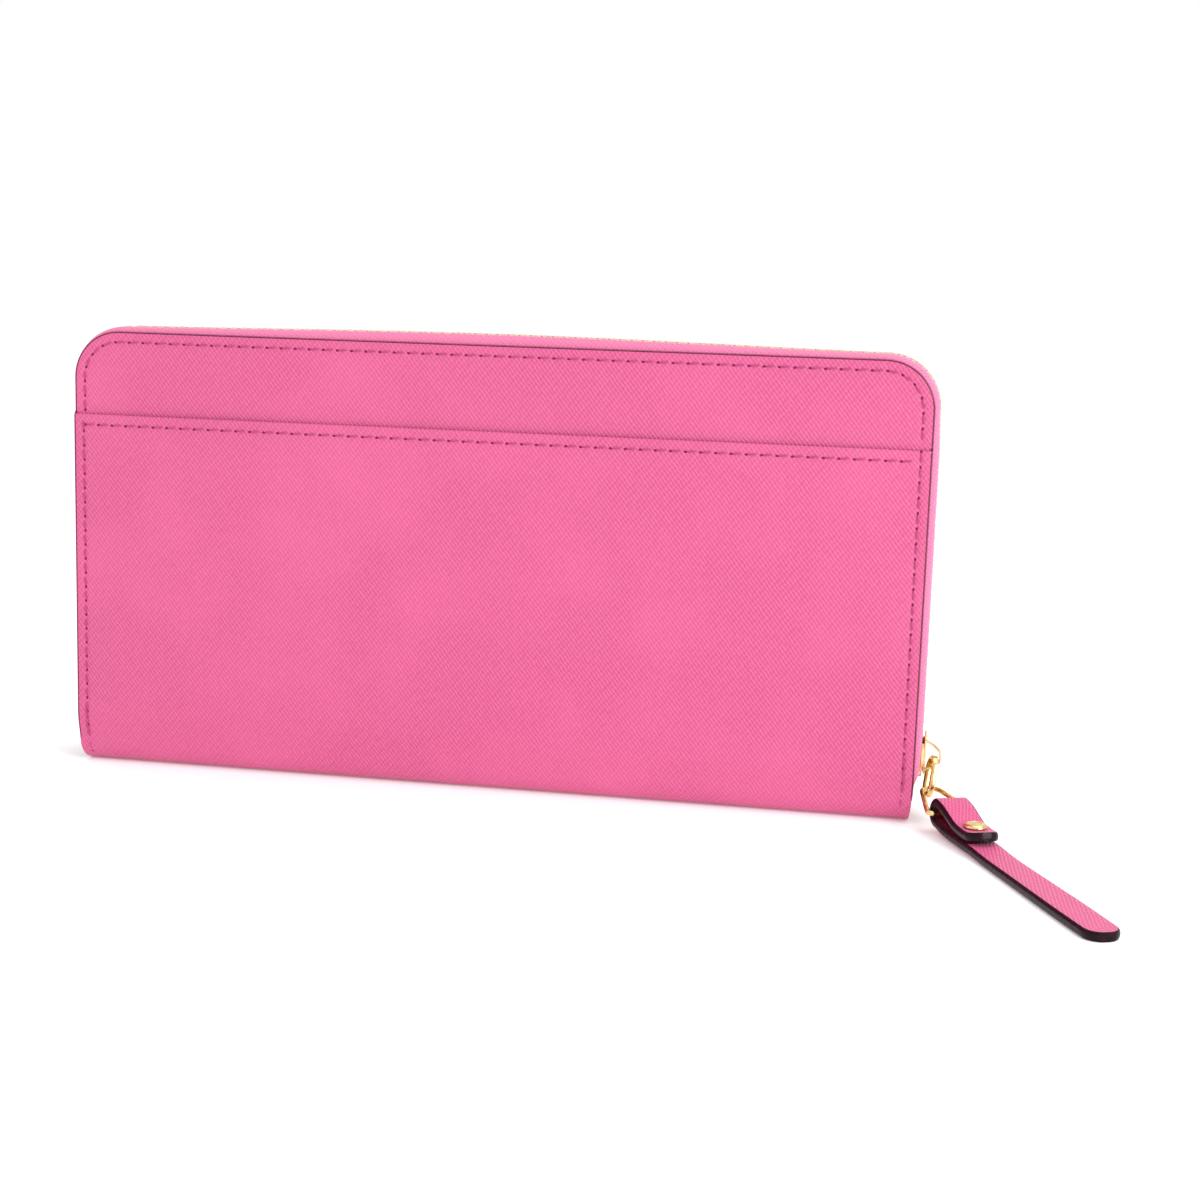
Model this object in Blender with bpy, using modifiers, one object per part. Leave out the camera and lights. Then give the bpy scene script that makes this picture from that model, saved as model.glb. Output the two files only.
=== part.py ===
"""Zip-around leather wallet, closed and standing on its spine, with its leather zip pull on the table.

X runs along the wallet, +Z is up and -Y is the side with the slip pocket. The origin is the centre of
the spine's flat resting face. Every size is in metres.
"""
from math import cos, pi, sin

import bmesh
import bpy
from mathutils import Matrix, Vector

# Covers
LENGTH = 0.191
HEIGHT = 0.099
HALF_DEPTH = 0.010
CORNER = 0.0105
SPINE_RADIUS = 0.005
LEATHER = 0.0008
THIN = 0.0004
PLY_GAP = 0.0002
LINING_INSET = 0.0020
COVER_FOOT = 0.0053
FOOT_CUT = (0.0015, 0.012)
POCKET_TOP = 0.0804
POCKET_LEATHER = 0.0006

# Main zip: offsets are measured outwards from the covers' outline
CHAIN_OFFSET = 0.0003
TOOTH_HALF_THICK = 0.0012
ROW_INNER = 0.0007
ROW_OUTER = 0.0031
TAPE_HALF_THICK = 0.00025
TAPE_EDGES = (0.0034, 0.0074)
STRIP_OFFSETS = (0.00065, 0.0014)
STRIP_EDGES = (0.0048, 0.0077)
ROW_FOOT = 0.0106
TAIL_TOP = 0.0195
STRIP_FOOT = 0.0072
STOP_FOOT = 0.0090
STOP_TOP = 0.0104
SLIDER_FOOT = 0.0096
SLIDER_LENGTH = 0.0085

# Inside: each card panel's top edge, nearest the cover first
CARD_TOPS = (0.078, 0.066, 0.054)
CARD_BACKING_TOP = 0.085
CARD_BACKING_FACE = 0.0072
CARD_PITCH = 0.0006
CARD_HALF_LENGTH = 0.0915
CARD_FOOT = 0.0060
COIN_HALF_LENGTH = 0.0870
COIN_FACE = 0.0022
COIN_FOOT = 0.0040
COIN_TOP = 0.0780
COIN_CHAIN_Z = 0.0805
COIN_CHAIN_HALF_LENGTH = 0.0780
COIN_ROW = (0.0006, 0.0020)
COIN_TOOTH_HALF_THICK = 0.0008
COIN_SLIDER_X = 0.0720
COIN_SLIDER_LENGTH = 0.0070
COIN_PLATE = 0.0005
COIN_CLEARANCE = 0.0002
COIN_WINDOW = 0.0012
PULL_BAR_BACK = 0.0037
PULL_BAR_HALF = 0.0005
PULL_HALF_WIDTH = 0.0019
PULL_HALF_THICK = 0.0003
PULL_REACH = 0.0120
PULL_HOLE = (0.0035, 0.0010)
COIN_STOP_GAP = 0.0003
COIN_STOP_END = 0.0015
GUSSET_TOP = 0.0760
GUSSET_FOLD = ((0.0905, 0.0046), (0.0800, 0.0042), (0.0800, 0.0033), (0.0895, 0.0028))

# Main slider: plates, clearance round the chain, and the bridge
PLATE = 0.0005
CLEARANCE = 0.00022
TAPE_SLOT = 0.00055
POST_HALF = 0.00045
BRIDGE = (0.00275, 0.00055, 0.0007, (0.04, 0.31, 0.50, 0.78))

# Zip pull: a link through the slider's bridge, a wire ring through the link, and a riveted leather tab
LINK_WIRE = 0.0006
LINK_HALF_LENGTH = 0.0042
LINK_HALF_WIDTH = 0.0025
LINK_TOP = Vector((0.0994, 0.0, 0.0127))
LINK_ALONG = Vector((-0.10, -0.36, -0.93)).normalized()
RING_WIRE = 0.00055
RING_REST = 0.00035
RING_LENGTH = 0.0125
RING_APEX_RADIUS = 0.0023
RING_BAR_HALF = 0.0050
RING_CORNER = 0.0012
BAR_HEIGHT = 0.0043
TAB_DIRECTION = Vector((0.395, -0.919, 0.0)).normalized()
TAB_LENGTH = 0.070
TAB_WIDTH = 0.0074
TAB_THICK = 0.0019
RIVET_AT = 0.0125
RIVET_RADIUS = 0.0025
RIVET_POST_RADIUS = 0.0009
RIVET_HOLE_RADIUS = 0.0012

PINK = (0.80, 0.16, 0.33)
PALE_PINK = (0.90, 0.26, 0.45)
LINING_GREY = (0.62, 0.55, 0.52)
BOARD_GREY = (0.45, 0.42, 0.40)
TAPE_PINK = (0.78, 0.20, 0.38)
GOLD = (0.90, 0.62, 0.26)

UP = Vector((0.0, 0.0, 1.0))


def clear_scene():
    for old in list(bpy.data.objects):
        bpy.data.objects.remove(old, do_unlink=True)


def new_collection(name):
    collection = bpy.data.collections.new(name)
    bpy.context.scene.collection.children.link(collection)
    return collection


def finish_material(name, colour, roughness, metallic=0.0):
    made = bpy.data.materials.new(name)
    made.use_nodes = True
    shader = made.node_tree.nodes["Principled BSDF"]
    shader.inputs["Base Color"].default_value = (*colour, 1.0)
    shader.inputs["Roughness"].default_value = roughness
    shader.inputs["Metallic"].default_value = metallic
    return made


clear_scene()
WALLET = new_collection("wallet")
CUTTERS = new_collection("cutters")
FINISHES = {
    "leather": (PINK, 0.5, 0.0),
    "strip": (PALE_PINK, 0.5, 0.0),
    "lining": (LINING_GREY, 0.8, 0.0),
    "board": (BOARD_GREY, 0.9, 0.0),
    "tape": (TAPE_PINK, 0.85, 0.0),
    "metal": (GOLD, 0.25, 1.0),
}


def keep(obj, name, finish):
    """Names the object and gives it a material of its own."""
    obj.name = name
    obj.data.name = name
    WALLET.objects.link(obj)
    obj.data.materials.append(finish_material(name, *FINISHES[finish]))
    return obj


def basis(origin, x_axis, y_axis):
    """The matrix whose local X and Y run along the two given world axes."""
    x_axis = Vector(x_axis).normalized()
    y_axis = Vector(y_axis).normalized()
    z_axis = x_axis.cross(y_axis)
    turn = Matrix((x_axis, y_axis, z_axis)).transposed().to_4x4()
    return Matrix.Translation(origin) @ turn


def arc(centre, radius, start, end, steps):
    """Points on an arc, angles in quarter turns."""
    points = []
    for step in range(steps + 1):
        angle = (start + (end - start) * step / steps) * pi / 2
        points.append((centre[0] + radius * cos(angle), centre[1] + radius * sin(angle)))
    return points


def spline_curve(name, points, cyclic, place, flat=True):
    """A curve object with one POLY spline through 2D points, placed by a matrix."""
    curve = bpy.data.curves.new(name, "CURVE")
    curve.dimensions = "2D" if flat else "3D"
    spline = curve.splines.new("POLY")
    spline.points.add(len(points) - 1)
    for target, (x, y) in zip(spline.points, points):
        target.co = (x, y, 0.0, 1.0)
    spline.use_cyclic_u = cyclic
    made = bpy.data.objects.new(name, curve)
    made.matrix_world = place
    return made


def plate(name, outline, y_low, y_high, finish):
    """A flat outline in the XZ plane with its thickness along Y."""
    middle = (0.0, (y_low + y_high) / 2, 0.0)
    made = spline_curve(name, outline, True, basis(middle, (1, 0, 0), (0, 0, 1)))
    made.data.fill_mode = "BOTH"
    made.data.extrude = (y_high - y_low) / 2
    return keep(made, name, finish)


def ribbon(name, line, thickness, half_width, place, finish):
    """An open line drawn out to both sides and given a thickness."""
    made = spline_curve(name, line, False, place)
    made.data.extrude = half_width
    solid = made.modifiers.new("thickness", "SOLIDIFY")
    solid.thickness = thickness
    solid.offset = 0.0
    solid.use_even_offset = True
    return keep(made, name, finish)


def wire(name, line, radius, place, finish):
    """A closed loop of round wire."""
    made = spline_curve(name, line, True, place, flat=False)
    made.data.bevel_depth = radius
    made.data.bevel_resolution = 2
    return keep(made, name, finish)


def box(name, low, high):
    """A box between two corners, left for the caller to keep or to join."""
    shape = bmesh.new()
    bmesh.ops.create_cube(shape, size=1.0)
    size = Vector(high) - Vector(low)
    middle = (Vector(high) + Vector(low)) / 2
    for point in shape.verts:
        point.co = middle + Vector(a * b for a, b in zip(point.co, size))
    mesh = bpy.data.meshes.new(name)
    shape.to_mesh(mesh)
    shape.free()
    return bpy.data.objects.new(name, mesh)


def cut_or_join(target, others, operation):
    """Boolean of the target with helpers, which are left out of the model."""
    for other in others:
        CUTTERS.objects.link(other)
        other.hide_render = True
        other.display_type = "WIRE"
        step = target.modifiers.new(operation.lower(), "BOOLEAN")
        step.operation = operation
        step.object = other


def as_mesh(curve_object):
    """The curve object's evaluated shape as a mesh object in its place."""
    bpy.context.view_layer.update()
    graph = bpy.context.evaluated_depsgraph_get()
    mesh = bpy.data.meshes.new_from_object(curve_object.evaluated_get(graph))
    shape = bmesh.new()
    shape.from_mesh(mesh)
    bmesh.ops.remove_doubles(shape, verts=shape.verts, dist=0.00001)
    shape.to_mesh(mesh)
    shape.free()
    name = curve_object.name
    made = bpy.data.objects.new(name + "_mesh", mesh)
    made.matrix_world = curve_object.matrix_world
    bpy.data.objects.remove(curve_object, do_unlink=True)
    made.name = name
    WALLET.objects.link(made)
    return made


def turned(name, profile, place, finish):
    """A profile of (radius, height) points, run top to bottom, turned about local Z."""
    mesh = bpy.data.meshes.new(name)
    points = [(radius, 0.0, height) for radius, height in profile]
    mesh.from_pydata(points, [(i, i + 1) for i in range(len(points) - 1)], [])
    made = bpy.data.objects.new(name, mesh)
    made.matrix_world = place
    spin = made.modifiers.new("turn", "SCREW")
    spin.steps = 24
    spin.render_steps = 24
    spin.use_merge_vertices = True
    spin.merge_threshold = 0.00001
    return keep(made, name, finish)


# Covers ------------------------------------------------------------------------------------------


def cover_outline(inset, foot, top):
    """The cover's outline: round top corners, and a slanted cut above the foot at each end."""
    side = LENGTH / 2 - inset
    radius = CORNER - inset
    cut, cut_top = FOOT_CUT
    left = arc((-side + radius, top - radius), radius, 2, 1, 8)
    right = arc((side - radius, top - radius), radius, 1, 0, 8)
    return [(-side + cut, foot), (-side, cut_top), *left, *right, (side, cut_top), (side - cut, foot)]


def square_outline(half_length, foot, top):
    return [(-half_length, foot), (-half_length, top), (half_length, top), (half_length, foot)]


def layer(name, outline, side, outer, thickness, finish):
    """A plate on one half of the wallet. outer is its outward face's distance from the middle."""
    near, far = sorted((side * outer, side * (outer - thickness)))
    return plate(name, outline, near, far, finish)


def cover(side, word):
    """Outer leather, stiffening board and lining of one cover."""
    layer(f"{word}_cover", cover_outline(0.0, COVER_FOOT, HEIGHT), side, HALF_DEPTH, LEATHER, "leather")
    inner = cover_outline(LINING_INSET, COVER_FOOT, HEIGHT - LINING_INSET)
    board_face = HALF_DEPTH - LEATHER - PLY_GAP
    layer(f"{word}_board", inner, side, board_face, THIN, "board")
    layer(f"{word}_lining", inner, side, board_face - THIN - PLY_GAP, THIN, "lining")


def slip_pocket():
    """Pocket panel on the outside of the back cover, its top edge straight across."""
    side = LENGTH / 2
    cut, cut_top = FOOT_CUT
    outline = [(-side + cut, COVER_FOOT), (-side, cut_top), (-side, POCKET_TOP)]
    outline += [(side, POCKET_TOP), (side, cut_top), (side - cut, COVER_FOOT)]
    layer("slip_pocket", outline, -1, HALF_DEPTH + PLY_GAP + POCKET_LEATHER, POCKET_LEATHER, "leather")


def spine():
    """Leather that wraps under the wallet from cover to cover, and the strip that lines it."""
    middle_radius = SPINE_RADIUS - LEATHER / 2
    turn = HALF_DEPTH - SPINE_RADIUS
    back = arc((-turn, SPINE_RADIUS), middle_radius, 2, 3, 5)
    front = arc((turn, SPINE_RADIUS), middle_radius, 3, 4, 5)
    place = basis((0, 0, 0), (0, 1, 0), (0, 0, 1))
    half_length = LENGTH / 2 - FOOT_CUT[0]
    ribbon("spine", back + front, LEATHER, half_length, place, "leather")
    liner_height = LEATHER + 2 * PLY_GAP
    liner = box("spine_liner", (-0.092, -turn, liner_height), (0.092, turn, liner_height + THIN))
    keep(liner, "spine_liner", "lining")


# Main zip ----------------------------------------------------------------------------------------


def edge_path(offset, foot):
    """The line from foot to foot around the covers' sides and top, offset outwards."""
    side = LENGTH / 2
    radius = CORNER + offset
    left = arc((-side + CORNER, HEIGHT - CORNER), radius, 2, 1, 8)
    right = arc((side - CORNER, HEIGHT - CORNER), radius, 1, 0, 8)
    return [(-side - offset, foot), *left, *right, (side + offset, foot)]


def band(name, offsets, foot, side, edges, finish):
    """A band that runs round three sides: offsets outwards, edges as distances from the middle."""
    outline = edge_path(offsets[1], foot) + edge_path(offsets[0], foot)[::-1]
    return layer(name, outline, side, edges[1], edges[1] - edges[0], finish)


def around(offset, half_thick):
    return offset - half_thick, offset + half_thick


def zip_half(side, word):
    """Leather edge strip, woven tape and tooth row of one half of the main zip."""
    band(f"{word}_edge_strip", STRIP_OFFSETS, STRIP_FOOT, side, STRIP_EDGES, "strip")
    band(f"{word}_zip_tape", around(CHAIN_OFFSET, TAPE_HALF_THICK), STRIP_FOOT, side, TAPE_EDGES, "tape")
    teeth = around(CHAIN_OFFSET, TOOTH_HALF_THICK)
    foot = ROW_FOOT if side < 0 else TAIL_TOP
    band(f"{word}_zip_teeth", teeth, foot, side, (ROW_INNER, ROW_OUTER), "metal")


def chain_block(name, end, y_low, y_high, foot, top):
    """A straight piece of the chain's section on the left (-1) or right (+1) end of the wallet."""
    outward = LENGTH / 2 + CHAIN_OFFSET
    near, far = sorted((end * (outward - TOOTH_HALF_THICK), end * (outward + TOOTH_HALF_THICK)))
    keep(box(name, (near, y_low, foot), (far, y_high, top)), name, "metal")


def zip_ends():
    """Lower ends of the front tooth row, and the stops that end the rows."""
    tail_top = TAIL_TOP - PLY_GAP
    chain_block("front_teeth_end_left", -1, ROW_INNER, ROW_OUTER, ROW_FOOT, tail_top)
    chain_block("front_teeth_end_right", 1, ROW_INNER, ROW_OUTER, ROW_FOOT, tail_top)
    chain_block("bottom_stop", -1, -ROW_OUTER, ROW_OUTER, STOP_FOOT, STOP_TOP)
    chain_block("top_stop_back", 1, -ROW_OUTER, -ROW_INNER, STOP_FOOT, STOP_TOP)
    chain_block("top_stop_front", 1, ROW_INNER, ROW_OUTER, STOP_FOOT, STOP_TOP)


def slider(name, place, chain, plate_thick, clearance, length, strap):
    """A zip slider. Local X points out of the chain, Z along its travel, and the chain is at X = 0.

    chain is (row's outer edge, half thickness, tape slot's half height, post's half width).
    strap is (height of its inner face over the plate, thickness, half width, where its four corners
    stand as fractions of the length).
    """
    row_edge, half_thick, slot, post = chain
    inner = half_thick + clearance
    outer = inner + plate_thick
    flange = row_edge + clearance
    edge = flange + 1.7 * plate_thick
    shapes = [box(name, (inner, -edge, 0), (outer, edge, length))]
    shapes.append(box(name + "_back_plate", (-outer, -edge, 0), (-inner, edge, length)))
    for side in (-1, 1):
        near, far = sorted((side * flange, side * edge))
        shapes.append(box(f"{name}_flange_{side}", (slot, near, 0), (inner + plate_thick / 2, far, length)))
        low, high = -inner - plate_thick / 2, -slot
        shapes.append(box(f"{name}_back_flange_{side}", (low, near, 0), (high, far, length)))
    post_end = inner + plate_thick / 2
    shapes.append(box(name + "_post", (-post_end, -post, 0), (post_end, post, 0.25 * length)))
    rise, strap_thick, strap_half, stations = strap
    foot = outer - plate_thick / 3
    crown = outer + rise + strap_thick
    heights = (foot, crown, crown, foot)
    line = [(x - strap_thick / 2, station * length) for x, station in zip(heights, stations)]
    strap_place = basis((0, 0, 0), (1, 0, 0), (0, 0, 1))
    bridge = ribbon(name + "_bridge", line, strap_thick, strap_half, strap_place, "metal")
    bridge = as_mesh(bridge)
    WALLET.objects.unlink(bridge)
    shapes.append(bridge)
    body, helpers = shapes[0], shapes[1:]
    for shape in shapes:
        shape.matrix_world = place @ shape.matrix_world
    cut_or_join(body, helpers, "UNION")
    return keep(body, name, "metal")


def main_slider():
    chain = (ROW_OUTER, TOOTH_HALF_THICK, TAPE_SLOT, POST_HALF)
    place = basis((LENGTH / 2 + CHAIN_OFFSET, 0, SLIDER_FOOT), (1, 0, 0), (0, 1, 0))
    slider("slider", place, chain, PLATE, CLEARANCE, SLIDER_LENGTH, BRIDGE)


# Zip pull ----------------------------------------------------------------------------------------


def link_axes():
    """Along the link, and across it: the way the wire runs through the bridge."""
    across = Vector((-0.26, 0.92, 0.0))
    across.z = -(across.x * LINK_ALONG.x + across.y * LINK_ALONG.y) / LINK_ALONG.z
    return LINK_ALONG, across.normalized()


def pull_link():
    along, across = link_axes()
    centre = LINK_TOP + along * LINK_HALF_LENGTH
    straight = LINK_HALF_LENGTH - LINK_HALF_WIDTH
    loop = arc((straight, 0), LINK_HALF_WIDTH, -1, 1, 12) + arc((-straight, 0), LINK_HALF_WIDTH, 1, 3, 12)
    wire("pull_link", loop, LINK_WIRE, basis(centre, along, across), "metal")


def ring_apex():
    """Middle of the ring's wire where it hangs in the lower end of the link."""
    along, across = link_axes()
    lift = LINK_WIRE + RING_WIRE + RING_REST
    return LINK_TOP + along * (2 * LINK_HALF_LENGTH - lift) - across * RING_REST


def bar_centre():
    """Middle of the ring's straight bar, which the leather tab folds round."""
    apex = ring_apex()
    drop = BAR_HEIGHT - apex.z
    level = (RING_LENGTH**2 - drop**2) ** 0.5
    return apex + TAB_DIRECTION * level + UP * drop


def pull_ring():
    apex = arc((RING_APEX_RADIUS, 0), RING_APEX_RADIUS, 1.15, 2.85, 10)
    corner_x = RING_LENGTH - RING_CORNER
    corner_y = RING_BAR_HALF - RING_CORNER
    lower = arc((corner_x, -corner_y), RING_CORNER, 3.2, 4, 4)
    upper = arc((corner_x, corner_y), RING_CORNER, 0, 0.8, 4)
    along = bar_centre() - ring_apex()
    sideways = UP.cross(TAB_DIRECTION)
    wire("pull_ring", apex + lower + upper, RING_WIRE, basis(ring_apex(), along, sideways), "metal")


def tab_line():
    """The leather's middle line from its free end, round the bar, to the end of the flap."""
    strand = 0.0014
    flap = 0.0037
    line = [(TAB_LENGTH, TAB_THICK / 2), (0.026, TAB_THICK / 2), (0.018, strand), (0.007, strand)]
    line += [(0.0030, 0.00165)]
    line += arc((0.0, BAR_HEIGHT), 0.0022, 3, 1, 10)
    line += [(0.0030, 0.0058), (0.0060, 0.0045), (0.0090, flap), (0.0180, flap)]
    return line


def tab_place(distance, height):
    """A frame at a distance along the tab, with local Z up."""
    foot = bar_centre() + TAB_DIRECTION * distance
    foot.z = height
    return basis(foot, TAB_DIRECTION, UP.cross(TAB_DIRECTION))


def pull_tab():
    """Leather strap folded round the ring's bar and held by a rivet."""
    foot = bar_centre()
    foot.z = 0.0
    place = basis(foot, TAB_DIRECTION, UP)
    strap = as_mesh(ribbon("pull_tab", tab_line(), TAB_THICK, TAB_WIDTH / 2, place, "leather"))
    hole = bmesh.new()
    bmesh.ops.create_cone(
        hole, cap_ends=True, segments=16, radius1=RIVET_HOLE_RADIUS, radius2=RIVET_HOLE_RADIUS, depth=0.02
    )
    mesh = bpy.data.meshes.new("rivet_hole")
    hole.to_mesh(mesh)
    hole.free()
    cutter = bpy.data.objects.new("rivet_hole", mesh)
    cutter.matrix_world = tab_place(RIVET_AT, 0.0)
    cut_or_join(strap, [cutter], "DIFFERENCE")


def rivet():
    """Post with its flat back, and the domed cap over the flap."""
    flap_face = 0.0037 + TAB_THICK / 2
    back = 0.0003
    post_top = flap_face
    profile = [(0, post_top), (RIVET_POST_RADIUS, post_top), (RIVET_POST_RADIUS, back)]
    profile += [(RIVET_RADIUS, back), (RIVET_RADIUS, 0.00005), (0, 0.00005)]
    turned("rivet_post", profile, tab_place(RIVET_AT, 0.0), "metal")
    rise = 0.0008
    seat = flap_face + PLY_GAP
    dome = [(RIVET_RADIUS * sin(step * pi / 12), seat + rise * cos(step * pi / 12)) for step in range(7)]
    profile = dome + [(0, seat)]
    turned("rivet_cap", profile, tab_place(RIVET_AT, 0.0), "metal")


# Inside ------------------------------------------------------------------------------------------


def card_panels(side, word):
    """Backing panel with three stepped panels on it, whose open tops hold the cards."""
    outline = square_outline(CARD_HALF_LENGTH, CARD_FOOT, CARD_BACKING_TOP)
    layer(f"{word}_card_backing", outline, side, CARD_BACKING_FACE, THIN, "lining")
    for number, top in enumerate(CARD_TOPS, start=1):
        outline = square_outline(CARD_HALF_LENGTH, CARD_FOOT, top)
        face = CARD_BACKING_FACE - number * CARD_PITCH
        layer(f"{word}_card_panel_{number}", outline, side, face, THIN, "leather")


def coin_half(side, word):
    """Panel, zip tape and tooth row of one side of the coin pocket."""
    outline = square_outline(COIN_HALF_LENGTH, COIN_FOOT, COIN_TOP)
    layer(f"coin_panel_{word}", outline, side, COIN_FACE, THIN, "lining")
    low, high = around(COIN_CHAIN_Z, COIN_TOOTH_HALF_THICK)
    row = square_outline(COIN_CHAIN_HALF_LENGTH, low, high)
    layer(f"coin_teeth_{word}", row, side, COIN_ROW[1], COIN_ROW[1] - COIN_ROW[0], "metal")
    tape_in = side * (COIN_ROW[1] + 0.0003)
    tape_out = side * 0.0036
    line = [(tape_in, COIN_CHAIN_Z), (tape_out, COIN_CHAIN_Z), (tape_out, COIN_CHAIN_Z - 0.0095)]
    place = basis((0, 0, 0), (0, 1, 0), (0, 0, 1))
    ribbon(f"coin_tape_{word}", line, THIN, COIN_CHAIN_HALF_LENGTH, place, "tape")


def coin_zip():
    """Slider of the coin pocket's zip, the flat pull in its bridge, and the stops."""
    place = basis((COIN_SLIDER_X, 0, COIN_CHAIN_Z), (0, 0, 1), (0, 1, 0))
    chain = (COIN_ROW[1], COIN_TOOTH_HALF_THICK, 0.0005, 0.00035)
    strap = (COIN_WINDOW, 0.0005, 0.0007, (0.08, 0.42, 0.68, 0.92))
    slider("coin_slider", place, chain, COIN_PLATE, COIN_CLEARANCE, COIN_SLIDER_LENGTH, strap)
    plate_top = COIN_CHAIN_Z + COIN_TOOTH_HALF_THICK + COIN_CLEARANCE + COIN_PLATE
    window = plate_top + COIN_WINDOW / 2
    hinge_x = COIN_SLIDER_X - PULL_BAR_BACK
    tip = arc((hinge_x - PULL_REACH, 0.0), PULL_HALF_WIDTH, 1, 3, 8)
    bar_end = hinge_x + PULL_BAR_HALF
    outline = [(bar_end, -PULL_HALF_WIDTH), (bar_end, PULL_HALF_WIDTH), *tip]
    pull = spline_curve("coin_pull", outline, True, basis((0, 0, window), (1, 0, 0), (0, 1, 0)))
    hole = pull.data.splines.new("POLY")
    far_end, hole_half = PULL_HOLE
    hole_points = [(hinge_x - far_end, hole_half), (hinge_x - PULL_BAR_HALF, hole_half)]
    hole_points += [(x, -y) for x, y in reversed(hole_points)]
    hole.points.add(len(hole_points) - 1)
    for target, (x, y) in zip(hole.points, hole_points):
        target.co = (x, y, 0.0, 1.0)
    hole.use_cyclic_u = True
    pull.data.fill_mode = "BOTH"
    pull.data.extrude = PULL_HALF_THICK
    keep(pull, "coin_pull", "metal")
    for word, end in (("left", -1), ("right", 1)):
        ends = [end * (COIN_CHAIN_HALF_LENGTH + gap) for gap in (COIN_STOP_GAP, COIN_STOP_END)]
        near, far = sorted(ends)
        low, high = around(COIN_CHAIN_Z, COIN_TOOTH_HALF_THICK)
        stop = box(f"coin_stop_{word}", (near, -COIN_ROW[1], low), (far, COIN_ROW[1], high))
        keep(stop, f"coin_stop_{word}", "metal")


def end_gusset(end, word):
    """Folded end wall that joins both card backings and the coin pocket, and spreads like a fan."""
    half = [(end * x, y) for x, y in GUSSET_FOLD]
    line = [(x, -y) for x, y in half] + [(x, y) for x, y in reversed(half)]
    mid_height = (GUSSET_TOP + CARD_FOOT) / 2
    place = basis((0, 0, mid_height), (1, 0, 0), (0, 1, 0))
    ribbon(f"end_gusset_{word}", line, THIN, (GUSSET_TOP - CARD_FOOT) / 2, place, "lining")


def build():
    for side, word in ((-1, "back"), (1, "front")):
        cover(side, word)
        zip_half(side, word)
        card_panels(side, word)
        coin_half(side, word)
    slip_pocket()
    spine()
    zip_ends()
    main_slider()
    pull_link()
    pull_ring()
    pull_tab()
    rivet()
    coin_zip()
    end_gusset(-1, "left")
    end_gusset(1, "right")


build()
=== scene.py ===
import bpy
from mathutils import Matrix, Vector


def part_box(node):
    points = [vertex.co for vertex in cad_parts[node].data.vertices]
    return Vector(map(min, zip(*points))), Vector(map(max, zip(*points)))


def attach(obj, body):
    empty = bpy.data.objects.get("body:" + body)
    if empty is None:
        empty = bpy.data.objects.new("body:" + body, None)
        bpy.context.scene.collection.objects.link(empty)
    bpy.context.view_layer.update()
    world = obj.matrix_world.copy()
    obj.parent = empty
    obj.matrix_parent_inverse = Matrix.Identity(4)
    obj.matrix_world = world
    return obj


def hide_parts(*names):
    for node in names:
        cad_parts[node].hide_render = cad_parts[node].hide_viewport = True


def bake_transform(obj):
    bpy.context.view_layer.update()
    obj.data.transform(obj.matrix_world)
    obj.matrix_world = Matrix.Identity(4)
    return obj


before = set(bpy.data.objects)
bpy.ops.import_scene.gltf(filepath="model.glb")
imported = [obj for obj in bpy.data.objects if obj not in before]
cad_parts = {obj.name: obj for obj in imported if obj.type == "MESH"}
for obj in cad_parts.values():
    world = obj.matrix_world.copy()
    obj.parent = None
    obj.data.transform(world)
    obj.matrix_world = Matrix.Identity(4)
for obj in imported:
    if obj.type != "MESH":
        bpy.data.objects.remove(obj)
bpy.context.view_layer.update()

# Looks of the zip-around wallet: grained leather with painted edges and stitches, zip metal, thread,
# woven tape and linings. X runs along the wallet, Z is up and -Y is the side with the slip pocket.

from itertools import accumulate
from math import cos, dist, exp, pi, radians, sin, sqrt

import bpy
import numpy as np
from mathutils import Matrix, Vector

MM = 0.001
UP = Vector((0.0, 0.0, 1.0))
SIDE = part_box("back_cover")[1].x
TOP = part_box("back_cover")[1].z
CORNER = 10.5 * MM
BACK_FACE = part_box("back_cover")[0].y
FRONT_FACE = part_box("front_cover")[1].y
POCKET_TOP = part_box("slip_pocket")[1].z
POCKET_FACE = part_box("slip_pocket")[0].y
SPINE_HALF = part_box("spine")[1].x
SPINE_RADIUS = 5 * MM
COVER_THICK = 0.8 * MM
WRAP_THICK = 0.6 * MM
PAINT_WIDTH = 0.30 * MM
SEAM_INSET = 2.3 * MM
STITCH_PITCH = 3.2 * MM
STITCH_LENGTH = 2.2 * MM
STITCH_SLANT = 0.10 * MM
STITCH_RINGS, STITCH_SIDES = 7, 8
THREAD = 0.24 * MM
HOLE_HALF_LENGTH, HOLE_HALF_WIDTH = 0.40 * MM, 0.31 * MM
FOLD_BAND = 8 * MM
TOOTH_PITCH = 2.5 * MM
COIN_PITCH = 2.0 * MM
TEETH_FOOT = 10.6 * MM
TAIL_TOP = 19.5 * MM
STRIP_FOOT = 6.2 * MM
FOOT_ROUND = 10 * MM
SEAM_FOOT = 2.6 * MM
HALVES = (("back", -1), ("front", 1))
ENDS = (("left", -1), ("right", 1))


def smooth(value):
    value = min(1.0, max(0.0, value))
    return value * value * (3 - 2 * value)


def colour(red, green, blue):
    """A display colour of 0 to 255 as the linear colour a shader takes."""
    parts = [part / 255 for part in (red, green, blue)]
    linear = [part / 12.92 if part < 0.04045 else ((part + 0.055) / 1.055) ** 2.4 for part in parts]
    return (*linear, 1.0)


# Materials ------------------------------------------------


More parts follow.
